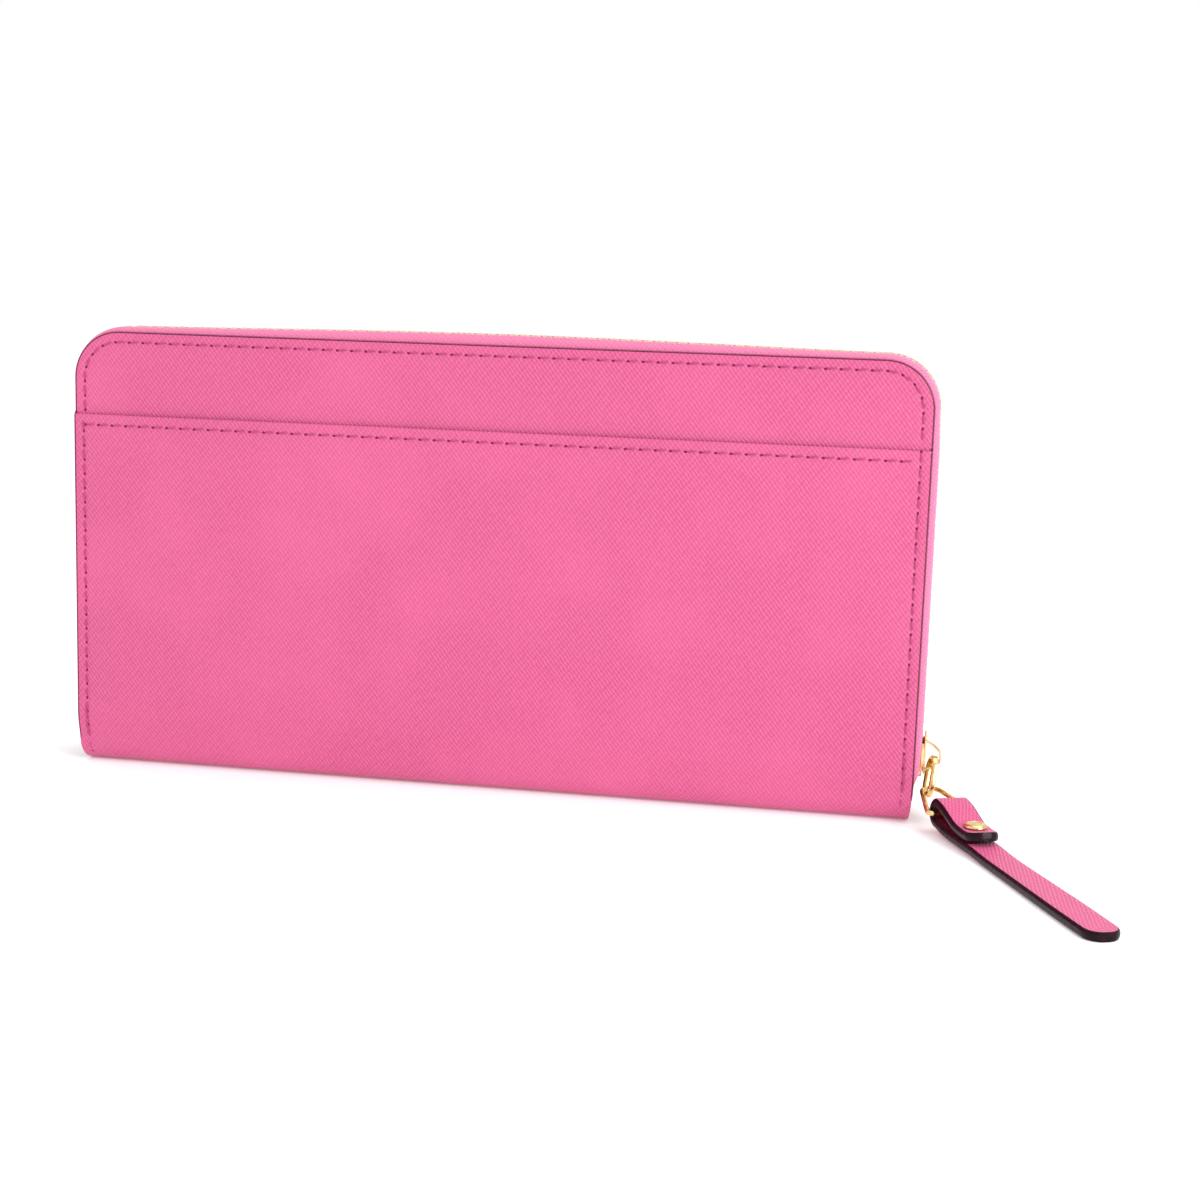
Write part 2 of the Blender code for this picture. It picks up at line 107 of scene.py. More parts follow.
class Nodes:
    """A material's node tree, with short ways to add and join nodes."""

    def __init__(self, name):
        self.material = bpy.data.materials.new(name)
        self.material.use_nodes = True
        self.tree = self.material.node_tree
        self.shader = self.tree.nodes["Principled BSDF"]

    def add(self, kind, links=None, **values):
        node = self.tree.nodes.new(f"ShaderNode{kind}")
        for key, value in values.items():
            setattr(node, key, value)
        for key, value in (links or {}).items():
            self.put(node.inputs[key], value)
        return node

    def put(self, socket, value):
        """Links a socket to another node's output, or sets its value."""
        if isinstance(value, bpy.types.NodeSocket):
            self.tree.links.new(value, socket)
        else:
            socket.default_value = value

    def sheet(self, turn, size):
        """Coordinates along the sheet, turned by degrees and in units of size metres."""
        source = self.add("TexCoord").outputs["UV"]
        values = {"Vector": source, "Rotation": (0, 0, radians(turn)), "Scale": (1 / size,) * 3}
        return self.add("Mapping", values).outputs["Vector"]

    def solid(self, size):
        source = self.add("TexCoord").outputs["Object"]
        return self.add("Mapping", {"Vector": source, "Scale": (1 / size,) * 3}).outputs["Vector"]

    def noise(self, vector, detail=2.0, scale=1.0):
        return self.add("TexNoise", {"Vector": vector, "Scale": scale, "Detail": detail}).outputs["Fac"]

    def ridges(self, vector, distortion):
        """Bands one unit apart."""
        values = {"Vector": vector, "Scale": pi / 10, "Distortion": distortion, "Detail": 1.5}
        values["Detail Scale"] = 1.6
        return self.add("TexWave", values, wave_type="BANDS").outputs["Fac"]

    def maths(self, operation, first, second=0.0):
        return self.add("Math", {0: first, 1: second}, operation=operation).outputs[0]

    def spread(self, value, low, high, new_low=0.0, new_high=1.0):
        values = {"Value": value, 1: low, 2: high, 3: new_low, 4: new_high}
        return self.add("MapRange", values).outputs["Result"]

    def mix(self, factor, first, second):
        node = self.add("Mix", {"Factor": factor}, data_type="RGBA")
        self.put(node.inputs[6], first)
        self.put(node.inputs[7], second)
        return node.outputs[2]

    def bump(self, height, distance, strength=1.0):
        values = {"Height": height, "Distance": distance, "Strength": strength}
        return self.add("Bump", values).outputs["Normal"]

    def finish(self, tone, roughness, normal=None, **others):
        """Feeds the shader. Other sockets are named with _ for each space."""
        values = {"Base_Color": tone, "Roughness": roughness, **others}
        if normal:
            values["Normal"] = normal
        for key, value in values.items():
            self.put(self.shader.inputs[key.replace("_", " ")], value)
        return self.material


def grained(name, light, dark, turn=0.0, depth=0.09 * MM):
    """Pressed cross-grain leather: steep ridges crossed by weaker ones, broken up by noise. Its colour has
    painted shade in the valleys and painted highlight on the ridges.
    """
    nodes = Nodes(name)
    main = nodes.ridges(nodes.sheet(turn - 38, 0.74 * MM), 2.0)
    cross = nodes.ridges(nodes.sheet(turn + 40, 1.05 * MM), 1.6)
    breaks = nodes.noise(nodes.sheet(turn - 38, 1.3 * MM), 2.0)
    pebble = nodes.noise(nodes.sheet(turn, 0.35 * MM), 3.0)
    height = nodes.maths("MULTIPLY", main, nodes.spread(breaks, 0.3, 0.7, 0.45, 1.0))
    height = nodes.maths("ADD", height, nodes.maths("MULTIPLY", cross, 0.32))
    height = nodes.maths("ADD", height, nodes.maths("MULTIPLY", pebble, 0.40))
    # Painted shade in the grain's valleys and painted highlight on its ridges, from the grain's height.
    shade = nodes.spread(height, 0.25, 1.25)
    cloud = nodes.noise(nodes.solid(22 * MM), 3.0)
    base = nodes.mix(shade, dark, light)
    worn = tuple(min(1.0, part * 1.10) for part in light[:3]) + (1.0,)
    base = nodes.mix(nodes.spread(cloud, 0.42, 0.75, 0.0, 0.35), base, worn)
    roughness = nodes.spread(height, 0.2, 1.3, 0.58, 0.40)
    normal = nodes.bump(height, depth)
    soft = {"Specular_IOR_Level": 0.42, "Sheen_Weight": 0.08, "Sheen_Roughness": 0.5}
    return nodes.finish(base, roughness, normal, **soft)


def painted_edge(name, base, highlight, shine=0.35):
    """Thick lacquer brushed over a cut leather edge."""
    nodes = Nodes(name)
    ripple = nodes.noise(nodes.solid(1.4 * MM), 3.0)
    fine = nodes.noise(nodes.solid(0.3 * MM), 2.0)
    tone = nodes.mix(nodes.spread(ripple, 0.35, 0.7), base, highlight)
    roughness = nodes.spread(fine, 0.3, 0.7, 0.16, 0.34)
    lacquer = {"Coat_Weight": 0.3 * shine, "Coat_Roughness": 0.10, "Specular_IOR_Level": shine}
    return nodes.finish(tone, roughness, nodes.bump(ripple, 0.08 * MM), **lacquer)


def thread(name, light, dark):
    """Twisted thread: slanting strands along its length."""
    nodes = Nodes(name)
    twist = nodes.ridges(nodes.sheet(35, 0.22 * MM), 0.4)
    fuzz = nodes.noise(nodes.solid(0.12 * MM), 2.0)
    tone = nodes.mix(nodes.maths("MULTIPLY", twist, nodes.spread(fuzz, 0.2, 0.8, 0.6, 1.0)), dark, light)
    roughness = nodes.spread(fuzz, 0.3, 0.7, 0.5, 0.7)
    return nodes.finish(tone, roughness, nodes.bump(twist, 0.05 * MM), Sheen_Weight=0.25)


def gold(name, light, dark, rough):
    """Polished plated metal with fine scratches and slightly dulled patches."""
    nodes = Nodes(name)
    patches = nodes.noise(nodes.solid(1.8 * MM), 4.0)
    scratches = nodes.ridges(nodes.solid(0.25 * MM), 6.0)
    tone = nodes.mix(nodes.spread(patches, 0.35, 0.75), light, dark)
    roughness = nodes.spread(patches, 0.3, 0.75, rough, rough + 0.16)
    return nodes.finish(tone, roughness, nodes.bump(scratches, 0.004 * MM, 0.5), Metallic=1.0)


def woven(name, light, dark, size, turn=0.0):
    """Plain weave: two crossing sets of yarns."""
    nodes = Nodes(name)
    warp = nodes.ridges(nodes.sheet(turn, size), 0.15)
    weft = nodes.ridges(nodes.sheet(turn + 90, size), 0.15)
    fuzz = nodes.noise(nodes.sheet(0, size * 0.6), 3.0)
    height = nodes.maths("ADD", nodes.maths("MULTIPLY", warp, weft), nodes.maths("MULTIPLY", fuzz, 0.4))
    tone = nodes.mix(nodes.spread(height, 0.1, 0.9), dark, light)
    roughness = nodes.spread(fuzz, 0.3, 0.7, 0.75, 0.92)
    return nodes.finish(tone, roughness, nodes.bump(height, size * 0.15), Sheen_Weight=0.3)


def smooth_leather(name, light, dark):
    """Soft inner leather with a fine natural grain. The tab's loop also uses it, in deep red, as painted
    shade.
    """
    nodes = Nodes(name)
    cells = nodes.add("TexVoronoi", {"Vector": nodes.sheet(0, 0.55 * MM), "Scale": 1.0})
    height = nodes.maths("ADD", cells.outputs["Distance"], nodes.noise(nodes.sheet(0, 0.3 * MM), 3.0))
    cloud = nodes.noise(nodes.solid(15 * MM), 2.0)
    tone = nodes.mix(nodes.spread(height, 0.5, 1.3), dark, light)
    tone = nodes.mix(nodes.spread(cloud, 0.4, 0.8, 0.0, 0.4), tone, dark)
    roughness = nodes.spread(height, 0.4, 1.4, 0.6, 0.42)
    return nodes.finish(tone, roughness, nodes.bump(height, 0.05 * MM))


def fibre_board(name):
    """Pressed paper fibres."""
    nodes = Nodes(name)
    fibres = nodes.noise(nodes.solid(0.5 * MM), 5.0)
    tone = nodes.mix(fibres, colour(138, 122, 108), colour(178, 164, 148))
    return nodes.finish(tone, nodes.spread(fibres, 0.3, 0.7, 0.8, 0.95), nodes.bump(fibres, 0.06 * MM))


def dark_hole(name, low, high):
    """The raw, shaded leather inside a needle hole."""
    nodes = Nodes(name)
    patches = nodes.noise(nodes.solid(0.3 * MM), 2.0)
    roughness = nodes.spread(patches, 0.3, 0.7, 0.75, 0.95)
    return nodes.finish(nodes.mix(patches, low, high), roughness, nodes.bump(patches, 0.05 * MM))


PINK = grained("pink_leather", colour(211, 95, 142), colour(188, 68, 118))
# Painted light: the edge strips get a paler copy of the cover leather, as though lit from above.
PALE_LIT_STRIP = grained("strip_leather", colour(222, 118, 158), colour(206, 98, 142), 10.0, 0.05 * MM)
TAB = grained("tab_leather", colour(214, 88, 138), colour(188, 64, 114), 108.0)
# Painted shade: the strap's inner faces round the fold are coloured deep red for the shade inside the loop.
LOOP_SHADE = smooth_leather("tab_loop_shade", colour(122, 8, 48), colour(84, 0, 26))
EDGE = painted_edge("edge_paint", colour(78, 10, 38), colour(112, 26, 60))
TAB_EDGE = painted_edge("tab_edge_paint", colour(14, 2, 8), colour(36, 6, 20), 0.12)
THREAD_PINK = thread("thread", colour(206, 62, 132), colour(164, 30, 96))
HOLE = dark_hole("needle_hole", colour(100, 0, 48), colour(130, 6, 66))
GOLD = gold("gold_metal", colour(242, 214, 156), colour(204, 164, 100), 0.12)
TEETH = gold("zip_metal", colour(250, 230, 178), colour(206, 172, 108), 0.18)
TAPE = woven("zip_tape", colour(240, 122, 170), colour(196, 64, 122), 0.45 * MM, 45.0)
INNER = smooth_leather("inner_leather", colour(240, 128, 172), colour(214, 92, 142))
LINING = woven("lining_fabric", colour(206, 186, 176), colour(160, 138, 130), 0.4 * MM, 30.0)
BOARD = fibre_board("board")


# Mesh tools -----------------------------------------------


def piece(name, points, faces, materials, uvs=None, kinds=None):
    """A mesh object. uvs holds one place on the sheet per point, in metres."""
    mesh = bpy.data.meshes.new(name)
    mesh.from_pydata([tuple(point) for point in points], [], [tuple(face) for face in faces])
    for material in materials:
        mesh.materials.append(material)
    if uvs is not None:
        layer = mesh.uv_layers.new(name="Sheet")
        spots = np.array([loop.vertex_index for loop in mesh.loops])
        layer.data.foreach_set("uv", np.array(uvs, float)[spots].ravel())
    if kinds is not None:
        mesh.polygons.foreach_set("material_index", kinds)
    shade(mesh, 50)
    made = bpy.data.objects.new(name, mesh)
    bpy.context.scene.collection.objects.link(made)
    return made


def shade(mesh, angle):
    """Smooth shading, with edges sharper than the angle kept crisp."""
    mesh.shade_smooth()
    mesh.set_sharp_from_angle(angle=radians(angle))


def freeze(made):
    """Applies the object's modifiers."""
    graph = bpy.context.evaluated_depsgraph_get()
    mesh = bpy.data.meshes.new_from_object(made.evaluated_get(graph), depsgraph=graph)
    made.modifiers.clear()
    made.data = mesh


def round_edges(made, width, least_angle, segments=2):
    """Adds a bevel to the edges that turn by more than least_angle degrees."""
    edge = made.modifiers.new("Edge", "BEVEL")
    edge.width = width
    edge.segments = segments
    edge.limit_method = "ANGLE"
    edge.angle_limit = radians(least_angle)
    return edge


def thicken(made, thickness, rim, bevel=0.0):
    """Gives a sheet its thickness inwards. rim is its cut edge's material."""
    shell = made.modifiers.new("Thickness", "SOLIDIFY")
    shell.thickness = thickness
    shell.offset = -1
    shell.material_offset_rim = rim
    shell.use_even_offset = True
    if bevel:
        round_edges(made, bevel, 60).material = rim
    freeze(made)
    shade(made.data, 55)


def soften(made, width, segments=2):
    """Rounds a hard piece's edges."""
    round_edges(made, width, 35, segments)
    freeze(made)
    shade(made.data, 40)
    return made


def join(name, objects):
    """One mesh object made of several that share a material."""
    points, faces = [], []
    material = objects[0].data.materials[0]
    for made in objects:
        faces += moved([face.vertices for face in made.data.polygons], len(points))
        points += [vertex.co.copy() for vertex in made.data.vertices]
        bpy.data.objects.remove(made, do_unlink=True)
    return piece(name, points, faces, [material], [(x + y, z) for x, y, z in points])


def ride(made, body, slot, *nodes):
    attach(made, body)
    if nodes:
        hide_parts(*nodes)


def bend(made, start, end, slot, *nodes):
    """Bakes the piece's placement into its mesh and hides the nodes it stands in for. start and end are not
    used.
    """
    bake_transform(made)
    if nodes:
        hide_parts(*nodes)


def lattice(rows, columns, wrap=False, closed=False):
    """Faces of a grid of points. wrap closes each row, and closed joins the last row to the first."""
    faces = []
    for row in range(rows if closed else rows - 1):
        here, beyond = row * columns, (row + 1) % rows * columns
        for column in range(columns if wrap else columns - 1):
            following = (column + 1) % columns
            faces.append((here + column, here + following, beyond + following, beyond + column))
    return faces


def tube_faces(rows, columns):
    """Faces of a tube of rings with a cap on each end."""
    caps = [tuple(range(columns))[::-1], tuple(range((rows - 1) * columns, rows * columns))]
    return lattice(rows, columns, wrap=True) + caps


def moved(faces, start):
    """The faces with their points numbered from start."""
    return [tuple(start + corner for corner in face) for face in faces]


def distances(line):
    """How far along a line each of its points is."""
    return list(accumulate([0.0] + [dist(a, b) for a, b in zip(line, line[1:])]))


def direction(line, index):
    """Which way a line of (a, b) points runs at one of them."""
    before, after = line[max(0, index - 1)], line[min(len(line) - 1, index + 1)]
    return Vector((after[0] - before[0], after[1] - before[1])).normalized()


def sweep(name, rings, materials, kinds=None, closed=False):
    """A skin over rings of points. kinds gives each place round a ring its material."""
    rows, columns = len(rings), len(rings[0])
    faces = lattice(rows, columns, wrap=True, closed=True) if closed else tube_faces(rows, columns)
    points = [point for ring in rings for point in ring]
    marks = kinds * (rows - 1) + kinds[:1] * 2 if kinds else None
    made = piece(name, points, faces, materials, sweep_uvs(rings), marks)
    made.data.validate()
    return made


def sweep_uvs(rings):
    """Places on the sheet: distance along the sweep, and distance round each ring."""
    centres = [sum((Vector(point) for point in ring), Vector()) / len(ring) for ring in rings]
    return [(along, around) for along, ring in zip(distances(centres), rings) for around in distances(ring)]


def arc(centre, radius, first, last, steps):
    """Points on a circle. The ends are in quarter turns."""
    turns = [first + (last - first) * step / steps for step in range(steps + 1)]
    return [(centre[0] + radius * cos(t * pi / 2), centre[1] + radius * sin(t * pi / 2)) for t in turns]


def eased(points, steps):
    """A smooth curve through the points."""
    points = [np.array(point, float) for point in points]
    padded = [2 * points[0] - points[1], *points, 2 * points[-1] - points[-2]]
    line = []
    for a, b, c, d in zip(padded, padded[1:], padded[2:], padded[3:]):
        for step in range(steps):
            t = step / steps
            line.append(0.5 * (2 * b + (c - a) * t + (2 * a - 5 * b + 4 * c - d) * t**2
                               + (3 * b - a - 3 * c + d) * t**3))
    return line + [points[-1]]


def oval(width, height, count=12, power=2.0):
    """A ring section: an ellipse at power 2, squarer above it."""
    ring = []
    for step in range(count):
        angle = 2 * pi * step / count
        across, up = cos(angle), sin(angle)
        ring.append((width * abs(across) ** (2 / power) * (1 if across > 0 else -1),
                     height * abs(up) ** (2 / power) * (1 if up > 0 else -1)))
    return ring


# Outline of the covers ------------------------------------


def half_width(z, inset=0.0):
    """Half the covers' width at a height: drawn in at the foot, round at the top corners."""
    foot = 0.55 * (SIDE - SPINE_HALF) * max(0.0, 1 - z / FOOT_ROUND) ** 2
    width = SIDE - inset - foot
    above = z - (TOP - CORNER)
    radius = CORNER - inset
    if above > 0:
        width -= radius - sqrt(max(0.0, radius**2 - min(above, radius) ** 2))
    return width


def edge_distance(x, z):
    """How far inside the covers' edge a point is."""
    corner_x, corner_z = abs(x) - (SIDE - CORNER), z - (TOP - CORNER)
    if corner_x > 0 and corner_z > 0:
        return CORNER - sqrt(corner_x**2 + corner_z**2)
    return min(half_width(z) - abs(x), TOP - z)


def rim_path(offset, foot, step=0.5 * MM):
    """Points round the three open sides from foot to foot: (x, z, outward x, outward z)."""
    straight = TOP - CORNER - foot
    count = max(2, int(straight / step))
    left = [(-SIDE, foot + straight * index / count, -1.0, 0.0) for index in range(count)]
    bow = [radians(180 - angle) for angle in range(0, 91, 5)]
    left += [(-SIDE + CORNER + CORNER * cos(a), TOP - CORNER + CORNER * sin(a), cos(a), sin(a)) for a in bow]
    middle_count = int((SIDE - CORNER) / step)
    reach = SIDE - CORNER
    half = [(-reach + reach * index / middle_count, TOP, 0.0, 1.0) for index in range(1, middle_count)]
    line = left + half + [(0.0, TOP, 0.0, 1.0)]
    line += [(-x, z, -out_x, out_z) for x, z, out_x, out_z in line[-2::-1]]
    moved = []
    for x, z, out_x, out_z in line:
        cut = (SIDE - half_width(z)) if z < TOP - CORNER else 0.0
        moved.append((x + out_x * (offset - cut), z + out_z * offset, out_x, out_z))
    return moved


def top_bow(x, z):
    """How far the edge strips bulge upwards along the top, most in the middle."""
    reach = SIDE - 4 * MM
    if z < TOP - CORNER or abs(x) > reach:
        return 0.0
    return 1.0 * MM * cos(pi * x / (2 * reach)) ** 1.7


def side_bow(z):
    """How far the edge strips bulge outwards along the two sides. The slider's way stays flat."""
    ease = smooth((z - 9 * MM) / (12 * MM))
    return 0.28 * MM * ease * (1 - smooth((z - (TOP - CORNER - 10 * MM)) / (10 * MM)))


# Covers and slip pocket -----------------------------------


def steps_between(low, high, fine, coarse, edge):
    """Places from low to high, close together within edge of high."""
    count = max(1, int(round((high - edge - low) / coarse)))
    places = [low + (high - edge - low) * index / count for index in range(count)]
    count = int(round(edge / fine))
    return places + [high - edge + edge * index / count for index in range(count + 1)]


def columns():
    """Places across a cover as fractions of its half width, closer together near the sides."""
    half = steps_between(0.0, 1.0, 0.0042, 0.016, 0.05)
    return [-place for place in half[:0:-1]] + half


def top_rows(low):
    """Heights up to the covers' top, close together where the corners turn."""
    straight = steps_between(low, TOP - CORNER, 1.0 * MM, 1.4 * MM, 2 * MM)
    turn = [TOP - CORNER + CORNER * sin(radians(angle)) for angle in range(3, 91, 3)]
    return straight + turn


def seam_dip(distance):
    """The stitches pull the leather in along the seam, and the edge is rolled over."""
    dip = -0.13 * MM * exp(-(((distance - SEAM_INSET) / (0.55 * MM)) ** 2))
    return dip - 0.10 * MM * exp(-distance / (0.45 * MM))


def pillow(x, z, most):
    """The padded middle of a cover stands slightly proud, with faint waves."""
    distance = edge_distance(x, z)
    rise = most * smooth((distance - SEAM_INSET) / (9 * MM)) * smooth((z - 6 * MM) / (14 * MM))
    wave = 0.05 * MM * sin(x / (17 * MM) + 0.7) * sin(z / (13 * MM) + 0.4) * smooth(distance / (6 * MM))
    return rise + wave + seam_dip(distance)


def pocket_lift(x, z):
    """Outward offset of the slip pocket: a folded band along its top with its own seam."""
    band = 0.14 * MM * smooth((z - (POCKET_TOP - FOLD_BAND)) / (0.8 * MM))
    seam = -0.12 * MM * exp(-(((POCKET_TOP - SEAM_INSET - z) / (0.55 * MM)) ** 2))
    side = smooth((edge_distance(x, z) - 0.5 * MM) / (3 * MM))
    radius = 0.35 * MM
    near = radius - min(radius, max(0.0, POCKET_TOP - z))
    return (band + seam) * side - (radius - sqrt(radius**2 - near**2))


def pocket_surface(x, z):
    """Y of the slip pocket's outer face, which thins into the cover above the spine."""
    base = BACK_FACE + (POCKET_FACE - BACK_FACE) * smooth((z - SPINE_RADIUS) / (7 * MM))
    return base - pillow(x, z, 0.18 * MM) - pocket_lift(x, z)


def back_surface(x, z):
    """Y of the back cover's own face. It lies flat behind the pocket."""
    open_part = smooth((z - POCKET_TOP) / (2 * MM))
    return BACK_FACE - (0.04 * MM + pillow(x, z, 0.05 * MM)) * open_part


def front_surface(x, z):
    return FRONT_FACE + pillow(x, z, 0.22 * MM)


def level(y):
    """A surface at one y everywhere."""
    return lambda x, z: y


def wrap_line():
    """The wrap's rows from the pocket's mouth, under the spine and up the front: (surface, z)."""
    heights = steps_between(SPINE_RADIUS, POCKET_TOP - 0.3 * MM, 0.3 * MM, 1.3 * MM, 3.6 * MM)
    heights += [POCKET_TOP - gap * MM for gap in (0.2, 0.12, 0.06, 0.02, 0.0)]
    line = [(pocket_surface, z) for z in heights[::-1]]
    turn = -BACK_FACE - SPINE_RADIUS
    line += [(level(y), z) for y, z in arc((-turn, SPINE_RADIUS), SPINE_RADIUS, 2, 3, 9)[1:]]
    line += [(level(-turn + 2 * turn * step / 6), 0.0) for step in range(1, 6)]
    line += [(level(y), z) for y, z in arc((turn, SPINE_RADIUS), SPINE_RADIUS, 3, 4, 9)[:-1]]
    return line + [(front_surface, z) for z in top_rows(SPINE_RADIUS)]


def wrap_leather():
    """One piece of leather: slip pocket, spine and front cover, with painted cut edges."""
    points, uvs = [], []
    places = columns()
    line = wrap_line()
    middle = [(surface(0.0, z), z) for surface, z in line]
    for (surface, z), along in zip(line, distances(middle)):
        for place in places:
            x = place * half_width(z)
            points.append((x, surface(x, z), z))
            uvs.append((x, -along))
    faces = [face[::-1] for face in lattice(len(line), len(places))]
    made = piece("cover_wrap", points, faces, [PINK, EDGE], uvs)
    thicken(made, WRAP_THICK, 1)
    for face in made.data.polygons:
        spot = face.center
        if spot.z > POCKET_TOP - 1.2 * MM and spot.y < BACK_FACE and abs(spot.x) < SIDE - 0.5 * MM:
            face.material_index = 0
    bend(made, (5 * MM, 0.0), (9.2 * MM, 0.0), "pink_leather", "slip_pocket", "spine", "front_cover")


def back_cover():
    points, uvs = [], []
    places = columns()
    heights = top_rows(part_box("back_cover")[0].z)
    for z in heights:
        width = half_width(z)
        for place in places:
            points.append((place * width, back_surface(place * width, z), z))
            uvs.append((place * width, z))
    made = piece("cover_back", points, lattice(len(heights), len(places)), [PINK, EDGE], uvs)
    thicken(made, COVER_THICK, 1)
    ride(made, "back_half", "pink_leather", "back_cover")


def painted_rims():
    """Lacquer over the covers' cut edges, wrapped slightly on to their faces."""
    inner = abs(BACK_FACE) - COVER_THICK - 0.05 * MM
    for word, side in HALVES:
        rings = []
        for x, z, out_x, out_z in rim_path(0.0, SPINE_RADIUS + 0.2 * MM):
            face = rim_face(x, z, side)
            inset = rim_face(x - out_x * PAINT_WIDTH, z - out_z * PAINT_WIDTH, side)
            section = [(inset - 0.05 * MM, -PAINT_WIDTH - 0.05 * MM), (inset + 0.05 * MM, -PAINT_WIDTH)]
            section += [(face + 0.07 * MM, -0.14 * MM), (face - 0.04 * MM, 0.02 * MM)]
            section += [(face - 0.22 * MM, 0.08 * MM), (inner + 0.15 * MM, 0.08 * MM)]
            section += [(inner, 0.0), (inner, -0.3 * MM), (face - 0.4 * MM, -0.4 * MM)]
            ring = [(x + out_x * offset, side * y, z + out_z * offset) for y, offset in section]
            rings.append(ring if side > 0 else ring[::-1])
        made = sweep(f"painted_rim_{word}", rings, [EDGE])
        ride(made, f"{word}_half", "pink_leather")


def rim_face(x, z, side):
    """How far from the middle the outer face stands at a cover's edge."""
    if side > 0:
        return front_surface(x, z)
    if z > POCKET_TOP + 0.4 * MM:
        return -back_surface(x, z)
    step = smooth((POCKET_TOP + 0.4 * MM - z) / (0.5 * MM))
    return -back_surface(x, z) * (1 - step) - pocket_surface(x, min(z, POCKET_TOP - 0.4 * MM)) * step


# Stitches -------------------------------------------------


def capsule(start, end, normal, radius):
    """Rings of a stitch that rises from one needle hole and sinks into the next."""
    along = end - start
    across = along.normalized().cross(normal)
    for step in range(STITCH_RINGS):
        t = step / (STITCH_RINGS - 1)
        lift = radius * (1.3 * sin(pi * t) ** 0.5 - 0.8)
        size = radius * (0.55 + 0.45 * sin(pi * t) ** 0.4)
        centre = start + along * t + normal * lift
        turns = [2 * pi * side / STITCH_SIDES for side in range(STITCH_SIDES)]
        yield [centre + across * cos(a) * size + normal * sin(a) * size for a in turns]


def needle_hole(centre, along, normal, points, faces, kinds):
    """A dark dent where the thread goes through."""
    across = along.cross(normal)
    start = len(points)
    count = 8
    for step in range(count):
        angle = 2 * pi * step / count
        points.append(centre + along * cos(angle) * HOLE_HALF_LENGTH + across * sin(angle) * HOLE_HALF_WIDTH)
    points.append(centre + normal * 0.06 * MM)
    points.append(centre - normal * 0.12 * MM)
    for step in range(count):
        following = (step + 1) % count
        faces.append((start + step, start + following, start + count))
        faces.append((start + following, start + step, start + count + 1))
        kinds += [1, 1]


def spot_at(line, lengths, distance):
    """The point on a line at a distance along it."""
    index = int(np.clip(np.searchsorted(lengths, distance), 1, len(line) - 1))
    part = (distance - lengths[index - 1]) / max(1e-9, lengths[index] - lengths[index - 1])
    return line[index - 1].lerp(line[index], part)


def stitches(name, line, normal, body, pitch=STITCH_PITCH, radius=THREAD):
    """A row of stitches along a line of surface points."""
    line = [Vector(point) for point in line]
    normal = Vector(normal)
    lengths = distances(line)
    count = int(lengths[-1] / pitch)
    pitch = lengths[-1] / count
    length = pitch * STITCH_LENGTH / STITCH_PITCH
    skin = tube_faces(STITCH_RINGS, STITCH_SIDES)
    points, faces, kinds, uvs = [], [], [], []
    for index in range(count):
        start = spot_at(line, lengths, index * pitch)
        end = spot_at(line, lengths, index * pitch + length)
        along = (end - start).normalized()
        slant = along.cross(normal) * STITCH_SLANT
        faces += moved(skin, len(points))
        kinds += [0] * len(skin)
        for step, ring in enumerate(capsule(start + slant, end - slant, normal, radius)):
            points += ring
            uvs += [(step * length / (STITCH_RINGS - 1), side * radius * 0.8) for side in range(STITCH_SIDES)]
        hole = start + slant - along * 0.20 * MM + normal * 0.06 * MM
        needle_hole(hole, along, normal, points, faces, kinds)
        uvs += [(0.0, 0.0)] * (len(points) - len(uvs))
    made = piece(name, points, faces, [THREAD_PINK, HOLE], uvs, kinds)
    ride(made, body, "pink_leather")


def spine_curve(z):
    """How far the spine's round corner falls back from the covers' faces."""
    below = max(0.0, SPINE_RADIUS - z)
    return SPINE_RADIUS - sqrt(SPINE_RADIUS**2 - below**2)


def cover_stitches():
    sunk = 0.02 * MM
    path = [(x, z) for x, z, _, _ in rim_path(-SEAM_INSET, SEAM_FOOT)]
    low = [(x, z) for x, z in path if z < POCKET_TOP - 0.4 * MM]
    for word, side in ENDS:
        line = [(x, pocket_surface(x, z) + sunk + spine_curve(z), z) for x, z in low if x * side > 0]
        stitches(f"stitches_side_{word}", line, (0, -1, 0), "back_half")
        tack = [(x + 0.14 * MM * side, y - 0.06 * MM, z) for x, y, z in line if 7 * MM < z < 14.5 * MM]
        stitches(f"tack_side_{word}", tack, (0, -1, 0), "back_half")
    high = [(x, back_surface(x, z) + sunk, z) for x, z in path if z > POCKET_TOP + 0.8 * MM]
    stitches("stitches_back", high, (0, -1, 0), "back_half")
    reach = SIDE - 2.9 * MM
    height = POCKET_TOP - SEAM_INSET
    xs = np.linspace(-reach, reach, 120)
    line = [(x, pocket_surface(x, height) + sunk, height) for x in xs]
    stitches("stitches_pocket", line, (0, -1, 0), "back_half")
    line = [(x, front_surface(x, z) - sunk - spine_curve(z), z) for x, z in path]
    stitches("stitches_front", line, (0, 1, 0), "front_half")


# Main zip -------------------------------------------------


SLIDER_X = SIDE + 0.3 * MM
SLIDER_GAP, SLIDER_PLATE = 1.42 * MM, 0.5 * MM
STRIP_SECTION = ((9.05, -2.2), (8.98, -0.8), (8.75, 0.05), (8.2, 0.60), (7.3, 0.92), (6.2, 1.05),
                 (5.2, 1.06), (4.72, 0.98), (4.60, 0.78), (4.75, 0.60), (5.6, 0.50), (7.0, 0.40),
                 (8.0, -0.05), (8.40, -0.9), (8.5, -2.2))
TAPE_SECTION = ((3.15, 0.25), (3.3, 0.50), (3.7, 0.52), (4.4, 0.40), (7.0, 0.32), (7.0, 0.0),
                (4.4, 0.05), (3.7, 0.0), (3.3, 0.02))


